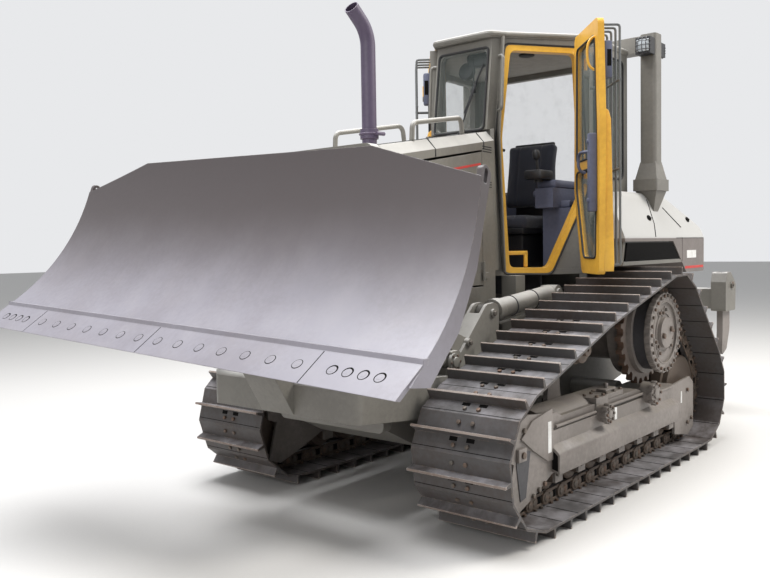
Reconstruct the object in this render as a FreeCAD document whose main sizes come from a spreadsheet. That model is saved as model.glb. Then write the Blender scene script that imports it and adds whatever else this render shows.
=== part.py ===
import FreeCAD, Part
import Sketcher
import math
import os

# Crawler bulldozer with an elevated sprocket, an angling and tilting blade, an enclosed cab and a rear ripper.
# Frame: +X forward, +Y to the machine's left, +Z up, millimetres, origin on the ground
# midway between the tracks and in the middle of their ground contact.

document = FreeCAD.newDocument("Bulldozer")
sheet = document.addObject("Spreadsheet::Sheet", "Dims")

# Each row: alias, value in mm or degrees, what it measures.
sizeRows = (
    # Tracks and track frames
    ("trackGauge", 1770, "between the middles of the two tracks"),
    ("shoeWidth", 596, "track shoe, side to side"),
    ("shoePlate", 13, "shoe plate thickness"),
    ("grouserTall", 52, "bar that stands out of a shoe"),
    ("grouserRoot", 22, "bar thickness at the plate"),
    ("grouserTip", 13, "bar thickness at its edge"),
    ("pinToShoe", 57, "from the chain's pin line out to the shoe's ground face"),
    ("linkInner", 38, "from the pin line in to the rail that the wheels run on"),
    ("railOffset", 65, "middle of a link rail from the middle of the track"),
    ("railThick", 34, "link rail thickness"),
    ("trackPitch", 175.5, "between the pins of the chain"),
    ("bushingRadius", 25, "chain bushing that the sprocket pushes"),
    ("idlerFrontX", 1112, "front idler's centre, as the track's tension leaves it"),
    ("idlerRearX", -1262, "rear idler's centre"),
    ("idlerPinRadius", 311, "pin line round an idler"),
    ("sprocketX", -731, "sprocket centre"),
    ("sprocketZ", 905, "sprocket centre above ground"),
    ("sprocketThick", 46, "sprocket tooth width"),
    ("carrierX", 300, "carrier roller's centre"),
    ("carrierZ", 889, "carrier roller's centre above ground"),
    ("carrierPinRadius", 124, "pin line over the carrier roller"),
    ("rollerRadius", 92, "track roller tread radius"),
    ("rollerFirstX", 758, "foremost track roller"),
    ("rollerSpacing", 276, "between track rollers"),
    ("wheelHalf", 84, "half width of an idler or roller tread"),
    ("flangeHalf", 44, "half width of a wheel's middle flange"),
    ("idlerFlange", 18, "idler's middle flange above its treads"),
    ("rollerFlange", 9, "roller's middle flange above its treads"),
    ("frameHalf", 160, "half width of a track frame"),
    ("framePlate", 18, "track frame side plates"),
    ("frameLowZ", 268, "lower edge of the track frame"),
    ("frameClear", 12, "gap between the track frame box and an idler"),
    ("recoilRadius", 158, "rounded recoil spring housing"),
    ("recoilTopZ", 607, "top of the recoil spring housing"),
    ("recoilLong", 590, "rounded recoil spring housing, fore and aft"),
    # Final drives
    ("driveHubRadius", 272, "final drive's outer bolt ring"),
    ("driveHubOut", 182, "outer bolt ring's face, outward from the track's middle"),
    # Main frame
    ("hullHalf", 380, "half width of the main frame"),
    ("hullFrontX", 1430, "main frame's front"),
    ("hullRearX", -1750, "main frame's rear"),
    ("hullLowZ", 392, "ground clearance under the belly"),
    # Hood and radiator guard
    ("hoodRearX", 184, "hood's rear edge at the windshield"),
    ("hoodRearHalf", 280, "hood half width at the windshield"),
    ("hoodFrontX", 1430, "hood's front edge"),
    ("hoodFrontHalf", 400, "hood half width at the radiator"),
    ("hoodRearZ", 2282, "hood top at the windshield"),
    ("hoodSlope", 9.2, "hood's fall towards the front, degrees"),
    ("shoulderDrop", 120, "hood side seam below the hood's top"),
    ("hoodSheet", 22, "hood panel thickness"),
    ("doorSeamX", 358, "rear edge of the engine side doors"),
    ("panelLowZ", 1270, "lower edge of the engine side doors"),
    ("guardThick", 70, "radiator guard, fore and aft"),
    ("stackX", 1178, "exhaust stack"),
    ("stackY", 60, "exhaust stack off the middle"),
    ("stackRadius", 43, "exhaust stack"),
    ("stackBendZ", 2680, "where the stack's bend begins"),
    ("stackBend", 180, "radius of the stack's bend"),
    # Cab
    ("cabPillarX", 32, "front door pillars"),
    ("cabPillarHalf", 277, "front door pillars from the middle"),
    ("cabSideX", -443, "rear door pillars"),
    ("cabHalf", 656, "half width of the cab behind the doors"),
    ("cabRearX", -1050, "outer face of the cab's rear wall"),
    ("cabFloorZ", 1318, "underside of the cab's floor"),
    ("cabFloorThick", 40, "cab floor"),
    ("cabRoofZ", 2900, "underside of the roof"),
    ("roofEdge", 22, "roof edge height"),
    ("roofCrown", 20, "rise of the roof above its edge"),
    ("roofLip", 5, "roof edge beyond the walls"),
    ("cabWall", 50, "cab wall thickness"),
    ("glassLowX", 183, "windshield's lower edge"),
    ("glassLowZ", 2292, "windshield's lower edge"),
    ("glassRake", 7.7, "windshield's lean, degrees"),
    ("glassHalf", 199, "half width of the windshield glass"),
    ("glassTall", 551, "windshield glass along its slope"),
    ("glassThick", 8, "window glass"),
    ("doorThick", 40, "cab door"),
    ("doorStandOff", 12, "gap between cab wall and door, where the seal lies"),
    ("doorOpen", 80.5, "left door as it stands, degrees from shut"),
    ("doorFrame", 62, "frame round the door's window"),
    ("hingeS", 75, "door hinge axis from the rear pillar, along the wall"),
    ("hingeOut", 82, "door hinge axis outside the wall"),
    # Rear body, roll-over posts
    ("bodyBeyond", 244, "side of the rear body beyond the cab's side"),
    ("tankRearX", -1980, "rear of the fuel tank"),
    ("tankTopZ", 1890, "top of the rear body"),
    ("fenderLowZ", 1370, "underside of the fenders, above the track's top"),
    ("postX", -1166, "roll-over posts"),
    ("postBeyond", 134, "middle of a roll-over post beyond the cab's side"),
    ("postSide", 124, "roll-over post section"),
    ("postFlangeZ", 1905, "underside of the flange at a post's foot"),
    ("postTopZ", 3050, "top of the roll-over posts"),
    # Push frame, blade
    ("pivotX", 560, "push frame's pivot"),
    ("pivotZ", 540, "push frame's pivot above ground"),
    ("armOut", 550, "push frame's outer face from the middle"),
    ("armThick", 110, "push frame arm, side to side"),
    ("liftPinX", 645, "lift cylinder's pin on the push frame, raised"),
    ("liftPinZ", 1117, "lift cylinder's pin above ground, raised"),
    ("liftRearX", -198, "lift cylinder's rear pin"),
    ("liftRearZ", 1192, "lift cylinder's rear pin above ground"),
    ("liftY", 495, "lift cylinders from the middle"),
    ("liftBarrel", 62, "lift cylinder barrel radius"),
    ("liftRod", 34, "lift cylinder rod radius"),
    ("earPlate", 20, "push frame ear plates"),
    ("capRadius", 50, "cap over the ball of an angle cylinder"),
    ("bladePitch", 27.5, "blade leaned back from its working pose, as raised, degrees"),
    ("bladeRoll", 2.2, "blade's left end lower, as it stands, degrees"),
    ("ballX", 2147, "blade's centre ball, raised"),
    ("ballZ", 1165, "blade's centre ball above ground, raised"),
    ("bladeHalf", 1538, "half of the blade's width at the cutting edge"),
    ("bladeTopHalf", 1444, "half of the blade's width at its upper corners"),
    ("chamferHalf", 850, "half of the blade's flat top edge"),
    ("moldThick", 16, "blade's front plate"),
    ("edgeThick", 26, "cutting edge plates"),
    ("edgeSection", 1067, "one middle cutting edge plate"),
    ("swivelHalf", 580, "angle cylinder's front pin from the middle"),
    ("swivelPinX", 62, "angle cylinder's front pin ahead of the ball"),
    ("angleRearX", 1060, "angle cylinder's rear ball"),
    ("angleRearY", 495, "angle cylinder's rear ball from the middle"),
    ("angleRearZ", 872, "angle cylinder's rear ball above ground"),
    ("angleBall", 42, "angle cylinder's rear ball radius"),
    ("angleBarrel", 48, "angle cylinder barrel radius"),
    ("angleRod", 28, "angle cylinder rod radius"),
    ("rodBall", 36, "ball at the front end of an angle cylinder's rod"),
    ("angleDrift", 16, "room above and below the rod's ball"),
    ("tiltX", 180, "tilt cylinder ahead of the blade's ball"),
    ("tiltZ", 350, "tilt cylinder above the blade's ball"),
    ("tiltInY", 180, "tilt cylinder's inner pin from the middle"),
    ("tiltOutY", 430, "tilt cylinder's outer pin from the middle"),
    ("tiltBarrel", 48, "tilt cylinder barrel radius"),
    ("tiltRod", 26, "tilt cylinder rod radius"),
    # Ripper
    ("ripperLowX", -1866, "ripper's frame pins"),
    ("ripperLowZ", 499, "ripper's lower frame pin above ground"),
    ("ripperRise", 260, "upper frame pin above the lower one"),
    ("ripperLink", 600, "ripper link between its pins"),
    ("ripperTilt", 38, "links raised above level, as it stands, degrees"),
    ("towPinRadius", 24, "hole for a tow pin in the drawbar"),
    ("ripperBeamHalf", 925, "half of the ripper beam"),
    ("ripperBeamDeep", 180, "ripper beam, fore and aft"),
    ("ripperBeamTall", 172, "ripper beam's height"),
    ("shankOut", 862, "outer ripper shanks from the middle"),
    ("shankThick", 50, "ripper shank, side to side"),
    ("shankReach", 395, "shank's point below the beam"),
    ("runClear", 0.08, "radial clearance of a turning or sliding fit"),
    ("seatGap", 0.3, "gap between pieces that rest on each other"),
    ("sideClear", 6, "clearance beside a turning eye"),
)


class Dim:
    """A number in millimetres or degrees that keeps the sheet expression it comes from."""

    def __init__(self, number, text=None):
        self.number = float(number)
        self.text = text if text is not None else repr(float(number))

    def other(self, value):
        return value if isinstance(value, Dim) else Dim(value)

    def __add__(self, value):
        value = self.other(value)
        return Dim(self.number + value.number, "(%s + %s)" % (self.text, value.text))

    def __sub__(self, value):
        value = self.other(value)
        return Dim(self.number - value.number, "(%s - %s)" % (self.text, value.text))

    def __mul__(self, value):
        value = self.other(value)
        return Dim(self.number * value.number, "(%s * %s)" % (self.text, value.text))

    def __truediv__(self, value):
        value = self.other(value)
        return Dim(self.number / value.number, "(%s / %s)" % (self.text, value.text))

    def __radd__(self, value):
        return Dim(value) + self

    def __rsub__(self, value):
        return Dim(value) - self

    def __rmul__(self, value):
        return Dim(value) * self

    def __rtruediv__(self, value):
        return Dim(value) / self

    def __neg__(self):
        return Dim(-self.number, "(-%s)" % self.text)

    def __lt__(self, value):
        return self.number < self.other(value).number


class Sizes:
    """The named sizes, read as attributes."""


def readSizes():
    for row, (alias, value, note) in enumerate(sizeRows, start=1):
        sheet.set("A%d" % row, note)
        sheet.set("B%d" % row, str(value))
        sheet.setAlias("B%d" % row, alias)
        setattr(Sizes, alias, Dim(value, "Dims." + alias))
    document.recompute()


def setSize(alias, value):
    """Writes a size that others decide back to its row."""
    for row, (name, _, _) in enumerate(sizeRows, start=1):
        if name == alias:
            sheet.set("B%d" % row, str(value))
            setattr(Sizes, alias, Dim(value, "Dims." + alias))
            document.recompute()


readSizes()
S = Sizes


def dim(value):
    return value if isinstance(value, Dim) else Dim(value)


def sine(angle):
    angle = dim(angle)
    return Dim(math.sin(math.radians(angle.number)), "sin(%s)" % angle.text)


def cosine(angle):
    angle = dim(angle)
    return Dim(math.cos(math.radians(angle.number)), "cos(%s)" % angle.text)


def tangent(angle):
    angle = dim(angle)
    return Dim(math.tan(math.radians(angle.number)), "tan(%s)" % angle.text)


def angleOf(rise, run):
    rise, run = dim(rise), dim(run)
    return Dim(math.degrees(math.atan2(rise.number, run.number)), "atan2(%s; %s)" % (rise.text, run.text))


def root(value):
    value = dim(value)
    return Dim(math.sqrt(value.number), "sqrt(%s)" % value.text)


class Frame:
    """A placement that keeps its expression."""

    def __init__(self, placement, text):
        self.placement = placement
        self.text = text

    def __mul__(self, inner):
        return Frame(self.placement.multiply(inner.placement), "%s * %s" % (self.text, inner.text))

    def point(self, x, y, z):
        return self.placement.multVec(FreeCAD.Vector(dim(x).number, dim(y).number, dim(z).number))


def at(x=0, y=0, z=0, axis=(0, 0, 1), turn=0):
    x, y, z, turn = dim(x), dim(y), dim(z), dim(turn)
    axis = [dim(part) for part in axis]
    place = FreeCAD.Placement(
        FreeCAD.Vector(x.number, y.number, z.number),
        FreeCAD.Rotation(FreeCAD.Vector(*[part.number for part in axis]), turn.number),
    )
    text = "placement(vector(%s; %s; %s); rotation(vector(%s; %s; %s); %s))" % (
        x.text, y.text, z.text, axis[0].text, axis[1].text, axis[2].text, turn.text)
    return Frame(place, text)


world = at()


def put(item, frame):
    item.Placement = frame.placement
    item.setExpression("Placement", frame.text)
    return item


def bind(item, **sizes):
    for prop, value in sizes.items():
        value = dim(value)
        setattr(item, prop, value.number)
        item.setExpression(prop, value.text)
    return item


counter = {}


def freshName(stem):
    counter[stem] = counter.get(stem, 0) + 1
    return "%s_%d" % (stem, counter[stem])


def box(x0, x1, y0, y1, z0, z1, frame=world):
    """A block between two corners, given in any order."""
    (x0, x1), (y0, y1), (z0, z1) = [sorted((dim(a), dim(b)), key=lambda d: d.number)
                                    for a, b in ((x0, x1), (y0, y1), (z0, z1))]
    item = document.addObject("Part::Box", freshName("block"))
    bind(item, Length=x1 - x0, Width=y1 - y0, Height=z1 - z0)
    return put(item, frame * at(x0, y0, z0))


alongAxis = {"x": ((0, 1, 0), 90), "y": ((1, 0, 0), -90), "z": ((0, 0, 1), 0)}


def drum(axis, x, y, z, radius, low, high, frame=world, inner=None):
    """A cylinder along an axis: x, y, z is a point on it, low and high its ends from that point."""
    low, high = sorted((dim(low), dim(high)), key=lambda d: d.number)
    turnAxis, turn = alongAxis[axis]
    place = frame * at(x, y, z) * at(0, 0, 0, turnAxis, turn) * at(0, 0, low)
    item = document.addObject("Part::Cylinder", freshName("drum"))
    bind(item, Radius=radius, Height=high - low)
    put(item, place)
    if inner is None:
        return item
    hole = document.addObject("Part::Cylinder", freshName("drumBore"))
    bind(hole, Radius=inner, Height=high - low + 2)
    put(hole, place * at(0, 0, -1))
    return cut(item, hole)


def cone(axis, x, y, z, radiusLow, radiusHigh, low, high, frame=world):
    turnAxis, turn = alongAxis[axis]
    item = document.addObject("Part::Cone", freshName("cone"))
    bind(item, Radius1=radiusLow, Radius2=radiusHigh, Height=dim(high) - low)
    return put(item, frame * at(x, y, z) * at(0, 0, 0, turnAxis, turn) * at(0, 0, low))


def ball(x, y, z, radius, frame=world):
    item = document.addObject("Part::Sphere", freshName("ball"))
    bind(item, Radius=radius)
    return put(item, frame * at(x, y, z))


planeRole = {"xy": "XY_Plane", "xz": "XZ_Plane", "yz": "YZ_Plane"}


def sketchOn(body, plane, outline, offset):
    """A closed outline of corners (u, v), or (u, v, radius) where a corner is rounded."""
    sketch = body.newObject("Sketcher::SketchObject", freshName("outline"))
    origin = [item for item in body.Origin.OriginFeatures if item.Role == planeRole[plane]][0]
    sketch.AttachmentSupport = [(origin, "")]
    sketch.MapMode = "FlatFace"
    offset = dim(offset)
    sketch.AttachmentOffset = FreeCAD.Placement(FreeCAD.Vector(0, 0, offset.number), FreeCAD.Rotation())
    sketch.setExpression("AttachmentOffset.Base.z", offset.text)
    drawOutline(sketch, outline)
    return sketch


def cornerPoints(outline):
    """Turns each rounded corner into the two points where its arc meets the straight edges."""
    points = []
    count = len(outline)
    for index, corner in enumerate(outline):
        u, v = dim(corner[0]), dim(corner[1])
        if len(corner) == 2:
            points.append((u, v, None))
            continue
        radius = dim(corner[2])
        ends = []
        for step in (-1, 1):
            near = outline[(index + step) % count]
            du, dv = dim(near[0]) - u, dim(near[1]) - v
            ends.append((du, dv, root(du * du + dv * dv)))
        (au, av, along), (bu, bv, blong) = ends
        turnCos = (au * bu + av * bv) / (along * blong)
        halfTangent = root((1 - turnCos) / (1 + turnCos))
        back = radius / halfTangent
        points.append((u + au * back / along, v + av * back / along, "arcStart"))
        points.append((u + bu * back / blong, v + bv * back / blong, radius))
    return points


def drawOutline(sketch, outline):
    points = cornerPoints(outline)
    corners = [FreeCAD.Vector(u.number, v.number, 0) for u, v, _ in points]
    count = len(points)
    edges, heads = [], []
    for index in range(count):
        start, end = corners[index], corners[(index + 1) % count]
        if points[index][2] == "arcStart":
            radius = points[index + 1][2].number
            before = (start - corners[index - 1]).normalize()
            after = (corners[(index + 2) % count] - end).normalize()
            side = 1 if before.cross(after).z > 0 else -1
            centre = start + FreeCAD.Vector(-before.y, before.x, 0) * side * radius
            first, last = (start, end) if side > 0 else (end, start)
            low, high = [math.atan2(place.y - centre.y, place.x - centre.x) for place in (first, last)]
            if high < low:
                high += 2 * math.pi
            circle = Part.Circle(centre, FreeCAD.Vector(0, 0, 1), radius)
            edges.append(sketch.addGeometry(Part.ArcOfCircle(circle, low, high), False))
            heads.append(1 if side > 0 else 2)
        else:
            edges.append(sketch.addGeometry(Part.LineSegment(start, end), False))
            heads.append(1)
    constraints = []
    bound = []
    for index, edge in enumerate(edges):
        nextEdge = edges[(index + 1) % count]
        nextHead = heads[(index + 1) % count]
        constraints.append(Sketcher.Constraint("Coincident", edge, 3 - heads[index], nextEdge, nextHead))
    for index, edge in enumerate(edges):
        u, v, mark = points[index]
        for kind, value in (("DistanceX", u), ("DistanceY", v)):
            bound.append((len(constraints), value))
            constraints.append(Sketcher.Constraint(kind, -1, 1, edge, heads[index], value.number))
        if mark == "arcStart":
            radius = points[index + 1][2]
            bound.append((len(constraints), radius))
            constraints.append(Sketcher.Constraint("Radius", edge, radius.number))
    sketch.addConstraint(constraints)
    for number, value in bound:
        if "Dims." in value.text:
            sketch.setExpression("Constraints[%d]" % number, value.text)


def prism(plane, outline, low, high, frame=world):
    """An outline drawn on a plane and padded from low to high along the plane's axis."""
    low, high = sorted((dim(low), dim(high)), key=lambda d: d.number)
    body = document.addObject("PartDesign::Body", freshName("body"))
    start = -high if plane == "xz" else low
    sketch = sketchOn(body, plane, outline, start)
    pad = body.newObject("PartDesign::Pad", freshName("pad"))
    pad.Profile = sketch
    bind(pad, Length=high - low)
    sketch.Visibility = False
    return put(body, frame)


def revolve(outline, frame=world):
    """An outline of (radius, height) corners turned about the local Z axis."""
    body = document.addObject("PartDesign::Body", freshName("turned"))
    sketch = sketchOn(body, "xz", outline, 0)
    turned = body.newObject("PartDesign::Revolution", freshName("revolution"))
    turned.Profile = sketch
    turned.ReferenceAxis = (sketch, ["V_Axis"])
    turned.Angle = 360
    return put(body, frame)


def loft(sections, frame=world):
    """A ruled loft between outlines, each (height, corners in the XY plane)."""
    body = document.addObject("PartDesign::Body", freshName("lofted"))
    sketches = [sketchOn(body, "xy", outline, height) for height, outline in sections]
    lofted = body.newObject("PartDesign::AdditiveLoft", freshName("loft"))
    lofted.Profile = sketches[0]
    lofted.Sections = sketches[1:]
    lofted.Ruled = True
    return put(body, frame)


def fuse(*items):
    items = [item for item in items if item is not None]
    if len(items) == 1:
        return items[0]
    joined = document.addObject("Part::MultiFuse", freshName("joined"))
    joined.Shapes = items
    return joined


def cut(base, *tools):
    result = document.addObject("Part::Cut", freshName("cutOut"))
    result.Base = base
    result.Tool = fuse(*tools)
    return result


def common(base, tool):
    result = document.addObject("Part::Common", freshName("shared"))
    result.Base = base
    result.Tool = tool
    return result


def group(*items):
    """Solids of one sub-part that don't touch each other."""
    together = document.addObject("Part::Compound", freshName("group"))
    together.Links = list(items)
    return together


nodes = []


def node(label, item):
    item.Label = label
    nodes.append(item)
    return item


def featureFrom(shape, frame=world):
    item = document.addObject("Part::Feature", freshName("made"))
    item.Shape = shape
    item.Placement = frame.placement
    return item


def vector(x, y, z):
    return FreeCAD.Vector(dim(x).number, dim(y).number, dim(z).number)


def tube(points, radius, bend, frame=world):
    """A round bar along straight runs joined by tangent arcs."""
    points = [vector(*point) for point in points]
    radius, bend = dim(radius).number, dim(bend).number
    edges = []
    start = points[0]
    for before, corner, after in zip(points, points[1:], points[2:]):
        into, away = (corner - before).normalize(), (after - corner).normalize()
        turn = into.getAngle(away)
        back = bend * math.tan(turn / 2)
        arcStart, arcEnd = corner - into * back, corner + away * back
        bisector = (away - into).normalize()
        centre = corner + bisector * (bend / math.cos(turn / 2))
        middle = centre + (corner - centre).normalize() * bend
        edges.append(Part.LineSegment(start, arcStart).toShape())
        edges.append(Part.Arc(arcStart, middle, arcEnd).toShape())
        start = arcEnd
    edges.append(Part.LineSegment(start, points[-1]).toShape())
    path = Part.Wire(edges)
    along = (points[1] - points[0]).normalize()
    profile = Part.Wire([Part.Circle(points[0], along, radius).toShape()])
    return featureFrom(path.makePipeShell([profile], True, True), frame)


def aim(start, end):
    """A frame at start whose Z axis points to end; both are (x, y, z) in the machine's frame."""
    start = [dim(part) for part in start]
    run = [dim(b) - a for a, b in zip(start, end)]
    flat = root(run[0] * run[0] + run[1] * run[1])
    lean = angleOf(flat, run[2])
    return at(start[0], start[1], start[2], (-run[1], run[0], 0), lean)


def distance(start, end):
    run = [dim(b) - a for a, b in zip(start, end)]
    return root(run[0] * run[0] + run[1] * run[1] + run[2] * run[2])


# Track loops

shoeCount = 40
teethCount = 25
shoeShift = {1: 7.6, -1: 124.1}


def pinLine(frontX):
    """The closed line that the chain's pins follow: straight runs and arcs, each (kind, length, values)."""
    railTop = S.grouserTall.number + S.pinToShoe.number + S.linkInner.number
    idlerZ = railTop + S.idlerPinRadius.number - S.linkInner.number
    wheels = [
        (frontX, idlerZ, S.idlerPinRadius.number),
        (S.carrierX.number, S.carrierZ.number, S.carrierPinRadius.number),
        (S.sprocketX.number, S.sprocketZ.number, sprocketPitch.number),
        (S.idlerRearX.number, idlerZ, S.idlerPinRadius.number),
    ]
    runs = []
    for (ax, az, ar), (bx, bz, br) in zip(wheels, wheels[1:] + wheels[:1]):
        gap = math.hypot(bx - ax, bz - az)
        normal = math.atan2(bz - az, bx - ax) - math.pi / 2 + math.asin((ar - br) / gap)
        runs.append((normal, ax + ar * math.cos(normal), az + ar * math.sin(normal),
                     bx + br * math.cos(normal), bz + br * math.sin(normal)))
    pieces = []
    for index, (cx, cz, radius) in enumerate(wheels):
        arrive, leave = runs[index - 1][0], runs[index][0]
        while leave < arrive - 1e-9:
            leave += 2 * math.pi
        pieces.append(("arc", radius * (leave - arrive), (cx, cz, radius, arrive)))
        _, ax, az, bx, bz = runs[index]
        pieces.append(("run", math.hypot(bx - ax, bz - az), (ax, az, bx, bz)))
    return pieces


def pointOn(pieces, along):
    along %= sum(piece[1] for piece in pieces)
    for kind, long, values in pieces:
        if along > long:
            along -= long
            continue
        if kind == "arc":
            cx, cz, radius, arrive = values
            angle = arrive + along / radius
            return cx + radius * math.cos(angle), cz + radius * math.sin(angle)
        ax, az, bx, bz = values
        return ax + (bx - ax) * along / long, az + (bz - az) * along / long
    return pieces[-1][2][2:]


def layChain(frontX, shift):
    """Lays the chain link by link; says where the pins lie and how far the last overshoots the first."""
    pieces = pinLine(frontX)
    total = sum(piece[1] for piece in pieces)
    pitch = S.trackPitch.number
    along, pins = shift, []
    for _ in range(shoeCount):
        here = pointOn(pieces, along)
        pins.append(here)
        low, high = along + pitch * 0.98, along + pitch * 1.2
        for _ in range(40):
            middle = (low + high) / 2
            there = pointOn(pieces, middle)
            if math.hypot(there[0] - here[0], there[1] - here[1]) < pitch:
                low = middle
            else:
                high = middle
        along = low
    return pins, along - shift - total


def tightenTrack():
    """Moves the front idler, as the track's tensioner does, until the chain closes."""
    low, high = S.idlerFrontX.number - 260, S.idlerFrontX.number + 260
    for _ in range(40):
        middle = (low + high) / 2
        if layChain(middle, shoeShift[1])[1] > 0:
            low = middle
        else:
            high = middle
    setSize("idlerFrontX", round(low, 3))


sprocketPitch = S.trackPitch / (2 * sine(Dim(360) / (teethCount / 2) / 2))
tightenTrack()


def offsetLoop(pins, out):
    """The closed line parallel to the chain's links at a distance outward, one corner for each pin."""
    count = len(pins)
    lines = []
    for index in range(count):
        (ax, az), (bx, bz) = pins[index], pins[(index + 1) % count]
        long = math.hypot(bx - ax, bz - az)
        tx, tz = (bx - ax) / long, (bz - az) / long
        lines.append((ax + tz * out, az - tx * out, tx, tz))
    corners = []
    for index in range(count):
        px, pz, ux, uz = lines[index - 1]
        qx, qz, vx, vz = lines[index]
        cross = ux * vz - uz * vx
        if abs(cross) < 1e-6:
            corners.append((qx, qz))
        else:
            reach = ((qx - px) * vz - (qz - pz) * vx) / cross
            corners.append((px + ux * reach, pz + uz * reach))
    return corners


pinsOf = {side: layChain(S.idlerFrontX.number, shoeShift[side])[0] for side in (1, -1)}


def treadFor(x, z):
    """The largest wheel about a centre that stays inside the rails of both tracks."""
    nearest = 1e9
    for pins in pinsOf.values():
        corners = offsetLoop(pins, -S.linkInner.number)
        for (ax, az), (bx, bz) in zip(corners, corners[1:] + corners[:1]):
            long = math.hypot(bx - ax, bz - az)
            share = ((x - ax) * (bx - ax) + (z - az) * (bz - az)) / long ** 2
            share = min(1.0, max(0.0, share))
            nearest = min(nearest, math.hypot(ax + (bx - ax) * share - x, az + (bz - az) * share - z))
    return nearest - S.seatGap.number


def loopFace(points, y):
    wire = Part.makePolygon([FreeCAD.Vector(x, y, z) for x, z in points + points[:1]])
    return Part.Face(wire)


def slabOf(points, y, wide):
    return loopFace(points, y).extrude(FreeCAD.Vector(0, wide, 0))


def trackShape(side):
    pins = pinsOf[side]
    outer = offsetLoop(pins, S.pinToShoe.number)
    inner = offsetLoop(pins, S.pinToShoe.number - S.shoePlate.number)
    under = offsetLoop(pins, S.pinToShoe.number - S.shoePlate.number / 2)
    rails = offsetLoop(pins, -S.linkInner.number)
    tall, base, tip = S.grouserTall.number, S.grouserRoot.number, S.grouserTip.number
    outline = []
    for index in range(shoeCount):
        (ax, az), (bx, bz) = outer[index], outer[(index + 1) % shoeCount]
        long = math.hypot(bx - ax, bz - az)
        tx, tz = (bx - ax) / long, (bz - az) / long
        mx, mz = (ax + bx) / 2, (az + bz) / 2
        outline.append((ax, az))
        for along, out in ((-base / 2, 0), (-tip / 2, tall), (tip / 2, tall), (base / 2, 0)):
            outline.append((mx + tx * along + tz * out, mz + tz * along - tx * out))
    middle = side * S.trackGauge.number / 2
    wide, thick = S.shoeWidth.number, S.railThick.number
    shape = slabOf(outline, middle - wide / 2, wide).cut(slabOf(inner, middle - wide / 2 - 1, wide + 2))
    for hand in (-1, 1):
        y = middle + hand * S.railOffset.number - thick / 2
        shape = shape.fuse(slabOf(under, y, thick).cut(slabOf(rails, y - 1, thick + 2)))
    reach = S.railOffset.number
    bushings = []
    for x, z in pins:
        corners = [(x + S.bushingRadius.number * math.cos(math.radians(60 * turn)),
                    z + S.bushingRadius.number * math.sin(math.radians(60 * turn))) for turn in range(6)]
        bushings.append(slabOf(corners, middle - reach, 2 * reach))
    return shape.fuse(bushings).removeSplitter()


def sprocketShape(side):
    """The tooth ring. Each bushing of the chain lies in a gap between two teeth."""
    pitch, bushing = sprocketPitch.number, S.bushingRadius.number
    cx, cz = S.sprocketX.number, S.sprocketZ.number
    top = max(pinsOf[side], key=lambda pin: pin[1])
    phase = math.atan2(top[1] - cz, top[0] - cx)
    profile = ((0.0, pitch - bushing - 3), (0.24, pitch - bushing + 3), (0.37, pitch + 14), (0.63, pitch + 14),
               (0.76, pitch - bushing + 3))
    points = []
    for index in range(teethCount):
        for share, radius in profile:
            angle = phase + (index + share) * 2 * math.pi / teethCount
            points.append((cx + radius * math.cos(angle), cz + radius * math.sin(angle)))
    middle = side * S.trackGauge.number / 2
    return slabOf(points, middle - S.sprocketThick.number / 2, S.sprocketThick.number)


groundToRail = S.grouserTall + S.pinToShoe + S.linkInner
idlerZ = groundToRail + S.idlerPinRadius - S.linkInner
rollerZ = groundToRail + S.rollerRadius
trackY = S.trackGauge / 2
sideNames = {1: "left", -1: "right"}


def wheel(x, y, z, hub, hubHalf, flangeRise):
    """A wheel across the machine inside the chain: two treads, a guiding flange between the rails, a hub."""
    tread, half, flangeHalf = treadFor(dim(x).number, dim(z).number), S.wheelHalf, S.flangeHalf
    flange = tread + flangeRise
    profile = (
        (12, -hubHalf), (hub, -hubHalf), (hub, -half - 4), (tread - 12, -half - 4), (tread, -half + 4),
        (tread, -flangeHalf), (flange, -flangeHalf + 8), (flange, flangeHalf - 8), (tread, flangeHalf),
        (tread, half - 4), (tread - 12, half + 4), (hub, half + 4), (hub, hubHalf), (12, hubHalf),
    )
    return revolve(profile, at(x, y, z) * at(0, 0, 0, (1, 0, 0), -90))


def rollerX(index):
    return S.rollerFirstX - S.rollerSpacing * index


def undercarriage():
    hubHalf = S.frameHalf - S.framePlate - S.seatGap
    idlers, rollers, frames, drives = [], [], [], []
    for side in (1, -1):
        y = trackY * side
        node("track_" + sideNames[side], featureFrom(trackShape(side)))
        idlers += [wheel(x, y, idlerZ, 95, hubHalf, S.idlerFlange) for x in (S.idlerFrontX, S.idlerRearX)]
        rollers += [wheel(rollerX(index), y, rollerZ, 46, hubHalf, S.rollerFlange) for index in range(7)]
        rollers.append(wheel(S.carrierX, y, S.carrierZ, 40, S.wheelHalf + 30, S.rollerFlange))
        frames.append(trackFrame(side, y))
        drives.append(finalDrive(side, y))
    node("idlers", group(*idlers))
    node("rollers", group(*rollers))
    node("track_frames", group(*frames))
    node("final_drives", group(*drives))


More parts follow.
